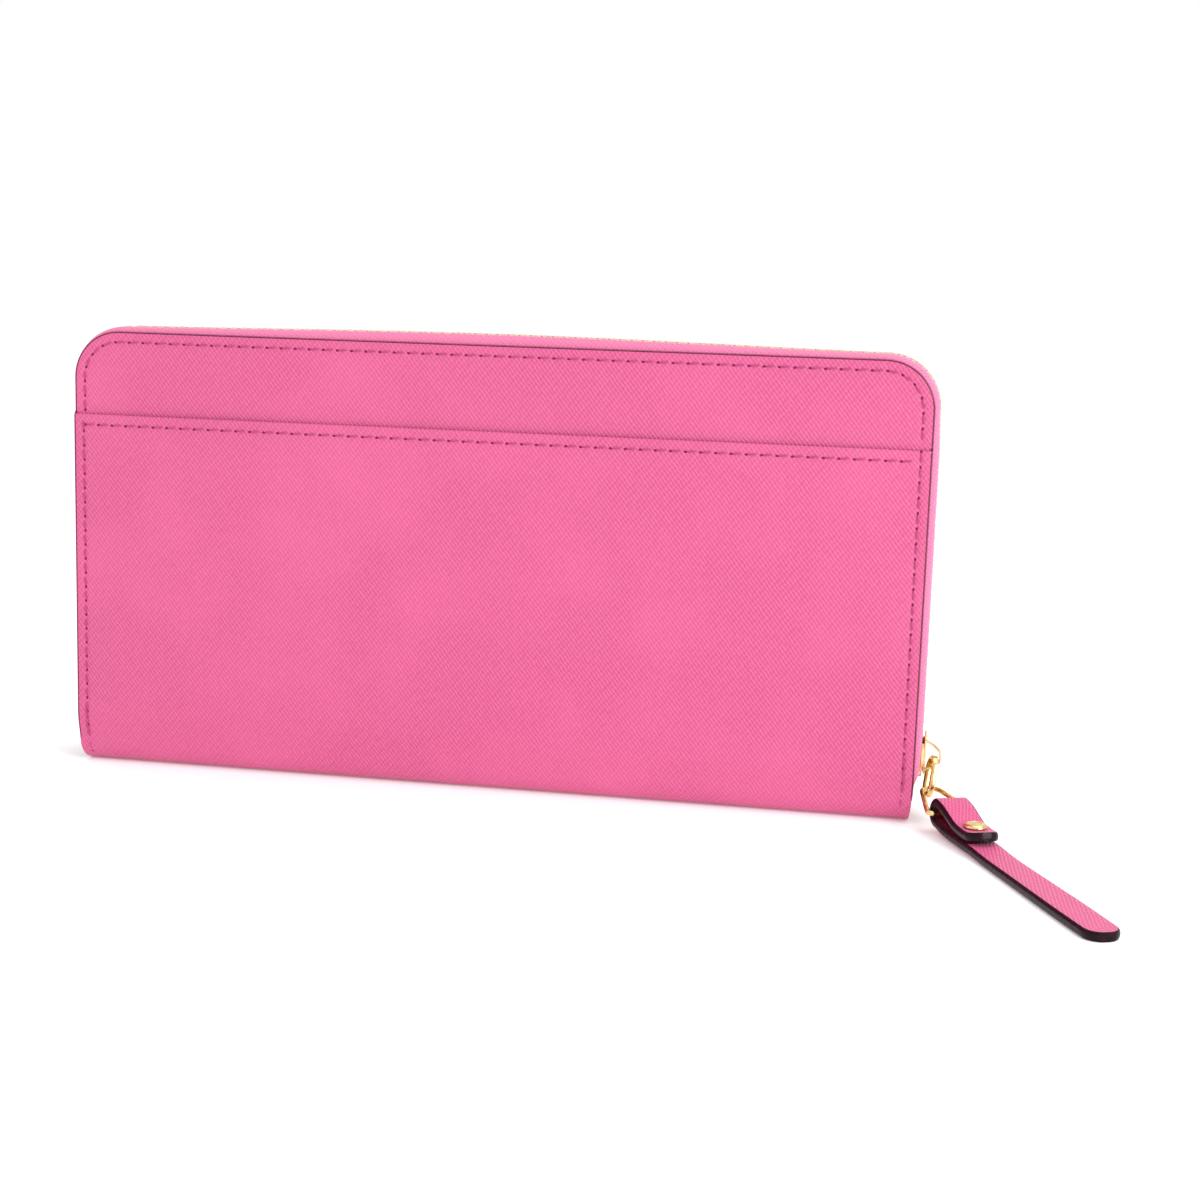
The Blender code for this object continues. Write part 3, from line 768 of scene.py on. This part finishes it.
def swept_band(name, section, foot, side, material):
    """A band round the three open sides, from a section of (distance from the middle, offset)."""
    section = [(across * MM, offset * MM) for across, offset in section]
    rings = []
    for x, z, out_x, out_z in rim_path(0.0, foot):
        tuck = 1.2 * MM * (1 - smooth((z - foot) / (5 * MM)))
        ring = []
        for across, offset in section:
            share = smooth((8.7 * MM - across) / (1.2 * MM))
            clear = smooth((across - 4.1 * MM) / (0.9 * MM))
            move = offset + (top_bow(x, z) + side_bow(z) * clear) * share - tuck
            ring.append((x + out_x * move, side * across, z + out_z * move))
        rings.append(ring if side > 0 else ring[::-1])
    return sweep(name, rings, [material])


def edge_strips_and_tapes():
    for word, side in HALVES:
        body = f"{word}_half"
        # The strips' paler leather is painted light.
        strip = swept_band(f"edge_strip_{word}", STRIP_SECTION, STRIP_FOOT, side, PALE_LIT_STRIP)
        ride(strip, body, "strip_leather", f"{word}_edge_strip")
        tape = swept_band(f"zip_tape_weave_{word}", TAPE_SECTION, TEETH_FOOT, side, TAPE)
        ride(tape, body, "zip_tape", f"{word}_zip_tape")


TOOTH_RISE = 0.12 * MM
TOOTH_STATIONS = ((3.15, 0.50, 0.95), (2.6, 0.62, 1.12), (1.5, 0.62, 1.15), (0.55, 0.56, 1.05),
                  (0.1, 0.36, 0.95), (-0.25, 0.52, 0.92), (-0.62, 0.50, 0.78), (-0.78, 0.30, 0.55))


def tooth_rings(stations, side, corners, turned):
    """Rings of (along, across, outwards) from a tooth's clamped foot to its rounded head.

    The stations are (across, half length, half height).
    """
    rings = []
    for across, half_long, half_high in stations:
        ring = [(along, side * across, up) for along, up in oval(half_long, half_high, corners, 4.0)]
        rings.append(ring[::-1] if turned else ring)
    return rings


def teeth(name, rings, spots, rise=0.0):
    """Copies of a tooth at (x, z, outward x, outward z)."""
    shape = [point for ring in rings for point in ring]
    skin = tube_faces(len(rings), len(rings[0]))
    points, faces, uvs = [], [], []
    for x, z, out_x, out_z in spots:
        faces += moved(skin, len(points))
        for along, across, up in shape:
            lift = rise + up
            points.append((x + out_x * lift + out_z * along, across, z + out_z * lift - out_x * along))
            uvs.append((along, across))
    return piece(name, points, faces, [TEETH], uvs)


def tooth_spots(shift):
    """Places one pitch apart along the main zip."""
    line = [Vector(spot) for spot in rim_path(0.0, TEETH_FOOT + 0.7 * MM, 0.25 * MM)]
    lengths = distances([spot[:2] for spot in line])
    spots = []
    for due in np.arange(shift, lengths[-1], TOOTH_PITCH):
        x, z, *outward = spot_at(line, lengths, due)
        out_x, out_z = Vector(outward).normalized()
        spots.append((x + out_x * 0.85 * side_bow(z), z + top_bow(x, z), out_x, out_z))
    return spots


def tooth_row(name, side, spots, node):
    """Teeth of the main zip, with the row's side as -1 or 1."""
    stations = [[part * MM for part in station] for station in TOOTH_STATIONS]
    made = teeth(name, tooth_rings(stations, side, 12, side < 0), spots, TOOTH_RISE)
    ride(made, "front_half" if side > 0 else "back_half", "zip_metal", node)


def main_zip_teeth():
    tooth_row("teeth_back", -1, tooth_spots(0.0), "back_zip_teeth")
    spots = tooth_spots(TOOTH_PITCH / 2)
    tooth_row("teeth_front", 1, [spot for spot in spots if spot[1] > TAIL_TOP], "front_zip_teeth")
    for word, end in ENDS:
        tail = [spot for spot in spots if spot[1] <= TAIL_TOP and spot[0] * end > 0]
        tooth_row(f"teeth_tail_{word}", 1, tail, f"front_teeth_end_{word}")


def rounded_box(name, low, high, bevel, material, segments=3):
    corners = [(x, y, z) for z in (low[2], high[2]) for y in (low[1], high[1]) for x in (low[0], high[0])]
    faces = [(0, 2, 3, 1), (4, 5, 7, 6), (0, 1, 5, 4), (2, 6, 7, 3), (0, 4, 6, 2), (1, 3, 7, 5)]
    return soften(piece(name, corners, faces, [material], [(x, z) for x, y, z in corners]), bevel, segments)


def metal_stop(node, body, bevel):
    ride(rounded_box(f"{node}_metal", *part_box(node), bevel, TEETH), body, "zip_metal", node)


def main_zip_stops():
    for node in ("bottom_stop", "top_stop_back", "top_stop_front"):
        metal_stop(node, "back_half", 0.25 * MM)


def extruded(name, outline, low, high, material, bevel):
    """A plate between two x, with an outline of (y, z)."""
    points = [(x, y, z) for x in (low, high) for y, z in outline]
    return soften(piece(name, points, tube_faces(2, len(outline)), [material]), bevel)


def shield(half_foot, half_top, low, high, radius):
    """A slider plate's outline: narrower at its foot, with a round top."""
    waist = low + 0.42 * (high - low)
    line = arc((half_foot - radius, low + radius), radius, -1, 0, 4)
    line += [(half_top * 0.985, waist)]
    line += arc((half_top - 2.2 * radius, high - 2.2 * radius), 2.2 * radius, 0, 1, 6)
    return line + [(-a, b) for a, b in line[::-1]]


def main_slider():
    """Two plates held apart by a post, flanges that grip the tapes, and a strap bridge on top."""
    low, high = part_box("slider")
    foot, top, half = low.z, high.z, high.y
    outline = shield(half - 0.5 * MM, half, foot, top, 0.8 * MM)
    shapes = []
    for word, near in (("out", SLIDER_GAP), ("in", -SLIDER_GAP - SLIDER_PLATE)):
        x = SLIDER_X + near
        shapes.append(extruded(f"plate_{word}", outline, x, x + SLIDER_PLATE, GOLD, 0.16 * MM))
    reach = SLIDER_GAP + 0.2 * MM
    for side in (-1, 1):
        near_y, far_y = sorted((side * (half - 0.85 * MM), side * (half - 0.03 * MM)))
        for word, near, far in (("out", 0.55 * MM, reach), ("in", -reach, -0.55 * MM)):
            start = (SLIDER_X + near, near_y, foot + 0.9 * MM)
            end = (SLIDER_X + far, far_y, top - 1.6 * MM)
            shapes.append(rounded_box(f"flange_{side}_{word}", start, end, 0.15 * MM, GOLD, 2))
    start = (SLIDER_X - reach, -0.45 * MM, foot)
    end = (SLIDER_X + reach, 0.45 * MM, foot + 2.1 * MM)
    shapes.append(rounded_box("post", start, end, 0.15 * MM, GOLD, 2))
    shapes.append(bridge(high.x, foot, top - foot))
    ride(join("slider_body", shapes), "zip_slider", "gold_metal", "slider")


def bridge(crown_x, foot, length):
    """The strap that the link hangs in: up from the foot, across, and down to the plate again."""
    base = SLIDER_X + SLIDER_GAP + SLIDER_PLATE - 0.2 * MM
    crown = crown_x - 0.24 * MM
    corners = [(base, 0.04), (base + 1.2 * MM, 0.10), (crown - 0.55 * MM, 0.20), (crown, 0.30),
               (crown, 0.42), (crown - 0.15 * MM, 0.54), (crown - 1.2 * MM, 0.66), (base + 0.9 * MM, 0.75),
               (base, 0.80)]
    line = eased([(x, foot + share * length) for x, share in corners], 4)
    rings = []
    for index, (x, z) in enumerate(line):
        run = direction(line, index)
        section = oval(0.80 * MM, 0.23 * MM, 12, 4.0)
        rings.append([(x + run.y * out, across, z - run.x * out) for across, out in section])
    return sweep("bridge", rings, [GOLD])


# Zip pull -------------------------------------------------

LINK_TOP = Vector((99.4, 0.0, 12.7)) * MM
LINK_ALONG = Vector((-0.10, -0.36, -0.93)).normalized()
LINK_HALF_LENGTH, LINK_HALF_WIDTH, LINK_WIRE = 4.2 * MM, 2.5 * MM, 0.6 * MM
RING_WIRE, RING_REST, RING_LENGTH = 0.55 * MM, 0.35 * MM, 12.5 * MM
RING_APEX_RADIUS, RING_BAR_HALF, RING_CORNER = 2.3 * MM, 5.0 * MM, 1.2 * MM
BAR_HEIGHT = 4.3 * MM
TAB_DIRECTION = Vector((0.395, -0.919, 0.0)).normalized()
TAB_HALF_WIDTH, TAB_THICK, TAB_CORNER = 3.7 * MM, 1.9 * MM, 3.0 * MM
FLAT_STEPS, NOSE_STEPS = 6, 8
# The distance along the strap within which its inner faces get the loop's painted shade.
SHADED_FROM = 17 * MM
RIVET_AT, RIVET_RADIUS = 12.5 * MM, 2.5 * MM


def link_across():
    across = Vector((-0.26, 0.92, 0.0))
    across.z = -(across.x * LINK_ALONG.x + across.y * LINK_ALONG.y) / LINK_ALONG.z
    return across.normalized()


def ring_apex():
    lift = LINK_WIRE + RING_WIRE + RING_REST
    return LINK_TOP + LINK_ALONG * (2 * LINK_HALF_LENGTH - lift) - link_across() * RING_REST


def bar_centre():
    apex = ring_apex()
    drop = BAR_HEIGHT - apex.z
    return apex + TAB_DIRECTION * sqrt(RING_LENGTH**2 - drop**2) + UP * drop


def loop_rings(line, section, to_world, normal):
    """Rings along a closed flat loop. The section is (across the band, away from the loop)."""
    rings = []
    places = [to_world(point) for point in line]
    for index, centre in enumerate(places):
        along = (places[(index + 1) % len(places)] - places[index - 1]).normalized()
        out = along.cross(normal)
        rings.append([centre + normal * a + out * b for a, b in section])
    return rings


def pull_link():
    """A heavy closed link bent from flat gold strip."""
    across = link_across()
    centre = LINK_TOP + LINK_ALONG * LINK_HALF_LENGTH
    straight = LINK_HALF_LENGTH - LINK_HALF_WIDTH
    line = arc((straight, 0), LINK_HALF_WIDTH, -1, 1, 18) + arc((-straight, 0), LINK_HALF_WIDTH, 1, 3, 18)
    normal = LINK_ALONG.cross(across).normalized()
    section = oval(0.76 * MM, 0.52 * MM, 16, 3.0)
    rings = loop_rings(line, section, lambda p: centre + LINK_ALONG * p[0] + across * p[1], normal)
    ride(sweep("link_band", rings, [GOLD], closed=True), "link", "gold_metal", "pull_link")


def between(start, end, count):
    """The points that cut a straight stretch into count equal parts."""
    shares = [step / count for step in range(1, count)]
    return [tuple(a + (b - a) * share for a, b in zip(start, end)) for share in shares]


def pull_ring():
    """Wire ring with a round apex in the link and a straight bar in the tab's loop."""
    line = arc((RING_APEX_RADIUS, 0), RING_APEX_RADIUS, 1.15, 2.85, 16)
    corner_x, corner_y = RING_LENGTH - RING_CORNER, RING_BAR_HALF - RING_CORNER
    lower = arc((corner_x, -corner_y), RING_CORNER, 3.2, 4, 8)
    upper = arc((corner_x, corner_y), RING_CORNER, 0, 0.8, 8)
    line += between(line[-1], lower[0], 8) + lower + between(lower[-1], upper[0], 6) + upper
    line += between(upper[-1], line[0], 8)
    apex = ring_apex()
    along = (bar_centre() - apex).normalized()
    sideways = UP.cross(TAB_DIRECTION).normalized()
    normal = along.cross(sideways).normalized()
    section = oval(RING_WIRE, RING_WIRE, 14)
    rings = loop_rings(line, section, lambda p: apex + along * p[0] + sideways * p[1], normal)
    ride(sweep("ring_wire", rings, [GOLD], closed=True), "ring", "gold_metal", "pull_ring")


def tab_line():
    """The strap's middle line from its free end, round the bar, to the end of the flap."""
    points = [(70.0, 0.95), (69.5, 0.95), (68.5, 0.95), (66.5, 0.95), (62.0, 0.95), (52.0, 0.96),
              (42.0, 0.96), (32.0, 0.96), (26.0, 0.98), (21.0, 1.15), (18.0, 1.30), (12.5, 1.34),
              (7.0, 1.40), (3.4, 1.62)]
    points += [(a / MM, b / MM) for a, b in arc((0.0, BAR_HEIGHT), 2.2 * MM, 3.1, 1.05, 9)]
    points += [(3.0, 6.00), (6.0, 5.00), (9.2, 4.00), (12.5, 3.68), (15.0, 3.70), (16.8, 3.94), (17.8, 4.18),
               (18.3, 4.32)]
    return [(a * MM, b * MM) for a, b in eased(points, 5)]


def strap_section(half_across):
    """(across, up) round the strap: a flat face, a rounded side, the other face, the other side."""
    half = TAB_THICK / 2
    nose = min(0.55 * MM, half_across * 0.4)
    straight = half_across - nose
    flat = [(straight * (2 * step / FLAT_STEPS - 1), half) for step in range(FLAT_STEPS + 1)]
    turns = [pi * step / NOSE_STEPS for step in range(1, NOSE_STEPS)]
    ring = flat + [(straight + nose * sin(a), half * cos(a)) for a in turns]
    return ring + [(-across, -up) for across, up in ring]


def pull_tab():
    """Two-ply strap folded round the bar: grained faces, deep red painted shade inside the fold, and thick
    painted edges.
    """
    line = tab_line()
    lengths = distances(line)
    foot = bar_centre()
    foot.z = 0.0
    sideways = UP.cross(TAB_DIRECTION).normalized()
    rings = []
    for index, (s, z) in enumerate(line):
        run = direction(line, index)
        end = min(lengths[index], lengths[-1] - lengths[index])
        inset = TAB_CORNER - sqrt(TAB_CORNER**2 - max(0.0, TAB_CORNER - end) ** 2)
        width = TAB_HALF_WIDTH - inset * 0.9 + 0.12 * MM * sin(lengths[index] / (9 * MM))
        ring = []
        for across, up in strap_section(width):
            spot = TAB_DIRECTION * (s + run.y * up) + UP * (z - run.x * up)
            ring.append(foot + spot + sideways * across)
        rings.append(ring)
    kinds = ([0] * FLAT_STEPS + [1] * NOSE_STEPS) * 2
    made = sweep("tab_strap", rings, [TAB, TAB_EDGE, LOOP_SHADE], kinds)
    columns_round = len(rings[0])
    skin = (len(rings) - 1) * columns_round
    # From this row on, the faces inside the fold get the painted shade.
    first_shaded_row = next(index for index, spot in enumerate(line) if spot[0] < SHADED_FROM)
    for face in made.data.polygons:
        row, spot = divmod(face.index, columns_round)
        if face.index >= skin:
            face.material_index = 1
        elif row >= first_shaded_row and spot < FLAT_STEPS:
            face.material_index = 2
    ride(made, "tab", "pink_leather", "pull_tab")


def lathe(name, profile, centre, material, steps=40):
    """A turned piece round a vertical axis, from (radius, height) pairs."""
    rings = []
    for radius, height in profile:
        turns = [2 * pi * step / steps for step in range(steps)]
        rings.append([centre + Vector((radius * cos(a), radius * sin(a), height)) for a in turns])
    return sweep(name, rings, [material])


def rivet():
    """Domed cap with a flat disc in a ring groove, and its post with a flat back."""
    centre = bar_centre() + TAB_DIRECTION * RIVET_AT
    centre.z = 0.0
    low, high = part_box("rivet_cap")
    shares = ((0.05, 0.0), (0.96, 0.0), (1.0, 0.18), (0.97, 0.42), (0.86, 0.78), (0.70, 0.96), (0.62, 1.0),
              (0.55, 0.96), (0.50, 0.82), (0.45, 0.80), (0.2, 0.82), (0.03, 0.82))
    profile = [(across * RIVET_RADIUS, low.z + up * (high.z - low.z)) for across, up in shares]
    ride(lathe("rivet_dome", profile, centre, GOLD), "tab", "gold_metal", "rivet_cap")
    low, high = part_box("rivet_post")
    foot = low.z
    profile = [(0.1 * MM, foot), (2.3 * MM, foot), (2.5 * MM, foot + 0.08 * MM),
               (2.45 * MM, foot + 0.2 * MM), (0.9 * MM, foot + 0.25 * MM),
               (0.9 * MM, high.z - 0.1 * MM), (0.1 * MM, high.z)]
    ride(lathe("rivet_stem", profile, centre, GOLD), "tab", "gold_metal", "rivet_post")


# Inside ---------------------------------------------------

CARD_SEAM = 88.5 * MM


def inner_panel(node, body, material, rim, slot, waves, corner=0.0, lip=0.0):
    """A thin sheet in a flat node's place, slightly wavy, with rounded edges. lip dips its top edge."""
    low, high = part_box(node)
    thick = high.y - low.y
    outward = -1 if high.y < 0 else 1
    face_y = low.y if outward > 0 else high.y
    rows, places = np.linspace(low.z, high.z, 31), np.linspace(-1, 1, 61)
    points, uvs = [], []
    for z in rows:
        up = (z - low.z) / (high.z - low.z)
        above = max(0.0, z - (high.z - corner))
        width = high.x - corner + sqrt(max(0.0, corner**2 - above**2))
        for place in places:
            dip = lip * exp(-((place * width / (9 * MM)) ** 4)) * smooth((up - 0.7) / 0.3)
            wave = waves * sin(place * 7 + up * 3) * sin(up * pi)
            points.append((place * width, face_y - outward * wave, z - dip))
            uvs.append((place * width, z))
    faces = [face[::outward] for face in lattice(len(rows), len(places))]
    made = piece(f"{node}_sheet", points, faces, [material, rim], uvs)
    thicken(made, thick, 1, min(0.12 * MM, thick * 0.4))
    ride(made, body, slot, node)


def half_lining(word, side):
    """Board, lining and stepped card panels of one half."""
    body = f"{word}_half"
    inner_panel(f"{word}_board", body, BOARD, BOARD, "board", 0.0, corner=8.5 * MM)
    inner_panel(f"{word}_lining", body, LINING, LINING, "lining_fabric", 0.03 * MM, corner=8.5 * MM)
    inner_panel(f"{word}_card_backing", body, LINING, LINING, "lining_fabric", 0.04 * MM)
    for number in (1, 2, 3):
        node = f"{word}_card_panel_{number}"
        inner_panel(node, body, INNER, EDGE, "inner_leather", 0.05 * MM, lip=2.2 * MM)
    low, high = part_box(node)
    y = high.y if side < 0 else low.y
    for number, x in enumerate((-CARD_SEAM, 0.0, CARD_SEAM)):
        card_stitches(f"{word}_{number}", body, side, (x, y, low.z + 3 * MM), (x, y, high.z - 2 * MM))
    reach, foot = CARD_SEAM - 2.5 * MM, low.z + 2 * MM
    card_stitches(f"{word}_foot", body, side, (-reach, y, foot), (reach, y, foot))


def card_stitches(word, body, side, start, end):
    stitches(f"stitches_cards_{word}", [start, end], (0, -side, 0), body, 2.8 * MM, 0.16 * MM)


def folded_gusset(word, end):
    """End wall of lining cloth, folded like a bellows."""
    fold = ((90.5, -4.6), (85.4, -4.45), (80.6, -4.15), (80.0, -3.75), (80.6, -3.4), (85.0, -3.05),
            (88.8, -2.75), (89.6, -2.0), (89.75, 0.0))
    low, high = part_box(f"end_gusset_{word}")
    half = [(end * x * MM, y * MM) for x, y in fold]
    line = eased(half + [(x, -y) for x, y in half[-2::-1]], 4)
    heights = np.linspace(low.z, high.z, 15)
    points = [(x, y, z) for x, y in line for z in heights]
    uvs = [(along, z) for along in distances(line) for z in heights]
    made = piece(f"gusset_fold_{word}", points, lattice(len(line), len(heights)), [LINING], uvs)
    shell = made.modifiers.new("Thickness", "SOLIDIFY")
    shell.thickness = 0.35 * MM
    shell.offset = 0
    freeze(made)
    bend(made, (-4.6 * MM, 0.0), (4.6 * MM, 0.0), "lining_fabric", f"end_gusset_{word}")


def spine_lining():
    made = rounded_box("spine_lining_cloth", *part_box("spine_liner"), 0.12 * MM, LINING)
    ride(made, "back_half", "lining_fabric", "spine_liner")


def coin_pocket():
    for word, side in HALVES:
        inner_panel(f"coin_panel_{word}", "coin_pocket", LINING, LINING, "lining_fabric", 0.05 * MM)
        coin_tape(word, side)
        coin_teeth(word, side)
    for node in ("coin_stop_left", "coin_stop_right"):
        metal_stop(node, "coin_pocket", 0.2 * MM)


def coin_tape(word, side):
    """Tape that runs out from the teeth and turns down over the panel."""
    low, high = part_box(f"coin_tape_{word}")
    near, far = sorted((abs(low.y), abs(high.y)))
    top, middle, half = high.z, 0.2 * MM, 0.19 * MM
    line = eased([(near, top - middle), (near + 0.7 * MM, top - middle), (far - 0.35 * MM, top - 0.35 * MM),
                  (far - middle, top - 1.2 * MM), (far - middle, low.z)], 5)
    runs = [direction(line, index) for index in range(len(line))]
    outer = [(side * (y - run.y * half), z + run.x * half) for (y, z), run in zip(line, runs)]
    inner = [(side * (y + run.y * half), z - run.x * half) for (y, z), run in zip(line, runs)]
    section = (outer + inner[::-1])[::-side]
    rings = [[(x, y, z) for y, z in section] for x in np.linspace(low.x, high.x, 60)]
    made = sweep(f"coin_tape_weave_{word}", rings, [TAPE])
    ride(made, "coin_pocket", "zip_tape", f"coin_tape_{word}")


def coin_teeth(word, side):
    """Small teeth across the coin pocket's mouth, the two rows half a pitch apart."""
    low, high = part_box(f"coin_teeth_{word}")
    near, far = sorted((abs(low.y), abs(high.y)))
    centre_z, half_high = (low.z + high.z) / 2, (high.z - low.z) / 2
    stations = ((far, 0.42), (far - 0.5 * MM, 0.50), (near, 0.46), (0.0, 0.34), (-0.35 * MM, 0.42),
                (-0.55 * MM, 0.25))
    stations = [(across, half_long * MM, half_high) for across, half_long in stations]
    start = low.x + (0.8 if side > 0 else 0.3) * COIN_PITCH
    count = int((high.x - low.x) / COIN_PITCH)
    spots = [(start + index * COIN_PITCH, centre_z, 0.0, 1.0) for index in range(count)]
    made = teeth(f"coin_tooth_row_{word}", tooth_rings(stations, side, 10, side > 0), spots)
    ride(made, "coin_pocket", "zip_metal", f"coin_teeth_{word}")


# Camera, light and floor ----------------------------------


def light(name, place, target, size, power):
    data = bpy.data.lights.new(name, "AREA")
    data.size = size
    data.energy = power
    made = bpy.data.objects.new(name, data)
    made.location = place
    made.rotation_mode = "QUATERNION"
    made.rotation_quaternion = (Vector(target) - Vector(place)).to_track_quat("-Z", "Y")
    bpy.context.scene.collection.objects.link(made)


def studio():
    """White floor, white surroundings and large soft lights, the strongest from the right."""
    world = bpy.data.worlds.new("studio")
    bpy.context.scene.world = world
    world.use_nodes = True
    backdrop = world.node_tree.nodes["Background"]
    backdrop.inputs["Color"].default_value = (1.0, 1.0, 1.0, 1.0)
    floor = Nodes("floor")
    soft = floor.noise(floor.solid(0.4), 2.0)
    tone = floor.mix(soft, (0.96, 0.96, 0.96, 1.0), (0.99, 0.99, 0.99, 1.0))
    glow = {"Emission_Color": (1.0, 1.0, 1.0, 1.0), "Emission_Strength": 0.15}
    floor.finish(tone, floor.spread(soft, 0.3, 0.7, 0.7, 0.8), **glow)
    reach = 4.0
    corners = [(-reach, -reach, 0), (reach, -reach, 0), (reach, reach, 0), (-reach, reach, 0)]
    plane = piece("floor", corners, [(0, 1, 2, 3)], [floor.material])
    plane.location.z = -0.05 * MM
    light("key", (0.85, -0.60, 0.45), (0.04, 0, 0.05), 0.5, 6.5)
    light("top", (0.3, 0.1, 0.9), (0, 0, 0.05), 0.7, 2.5)


def camera():
    """The place the wallet is seen from: a little from the right and from above."""
    azimuth, elevation, roll = radians(10.07), radians(9.13), radians(1.78)
    back = Vector((sin(azimuth) * cos(elevation), -cos(azimuth) * cos(elevation), sin(elevation)))
    right = UP.cross(back).normalized()
    up = back.cross(right)
    turned_right = right * cos(roll) + up * sin(roll)
    turned_up = up * cos(roll) - right * sin(roll)
    data = bpy.data.cameras.new("camera")
    data.lens = 57.55
    made = bpy.data.objects.new("camera", data)
    turn = Matrix((turned_right, turned_up, back)).transposed().to_4x4()
    made.matrix_world = Matrix.Translation((0.0981, -0.4160, 0.1111)) @ turn
    bpy.context.scene.collection.objects.link(made)
    bpy.context.scene.camera = made


def metal_nodes():
    """Frame nodes that keep their own shape."""
    for node in ("coin_slider", "coin_pull"):
        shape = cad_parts[node]
        shape.data.materials.clear()
        shape.data.materials.append(GOLD)


bpy.context.scene.view_settings.view_transform = "Standard"
camera()
studio()
wrap_leather()
back_cover()
painted_rims()
cover_stitches()
edge_strips_and_tapes()
main_zip_teeth()
main_zip_stops()
main_slider()
pull_link()
pull_ring()
pull_tab()
rivet()
for half in HALVES:
    half_lining(*half)
for end in ENDS:
    folded_gusset(*end)
spine_lining()
coin_pocket()
metal_nodes()
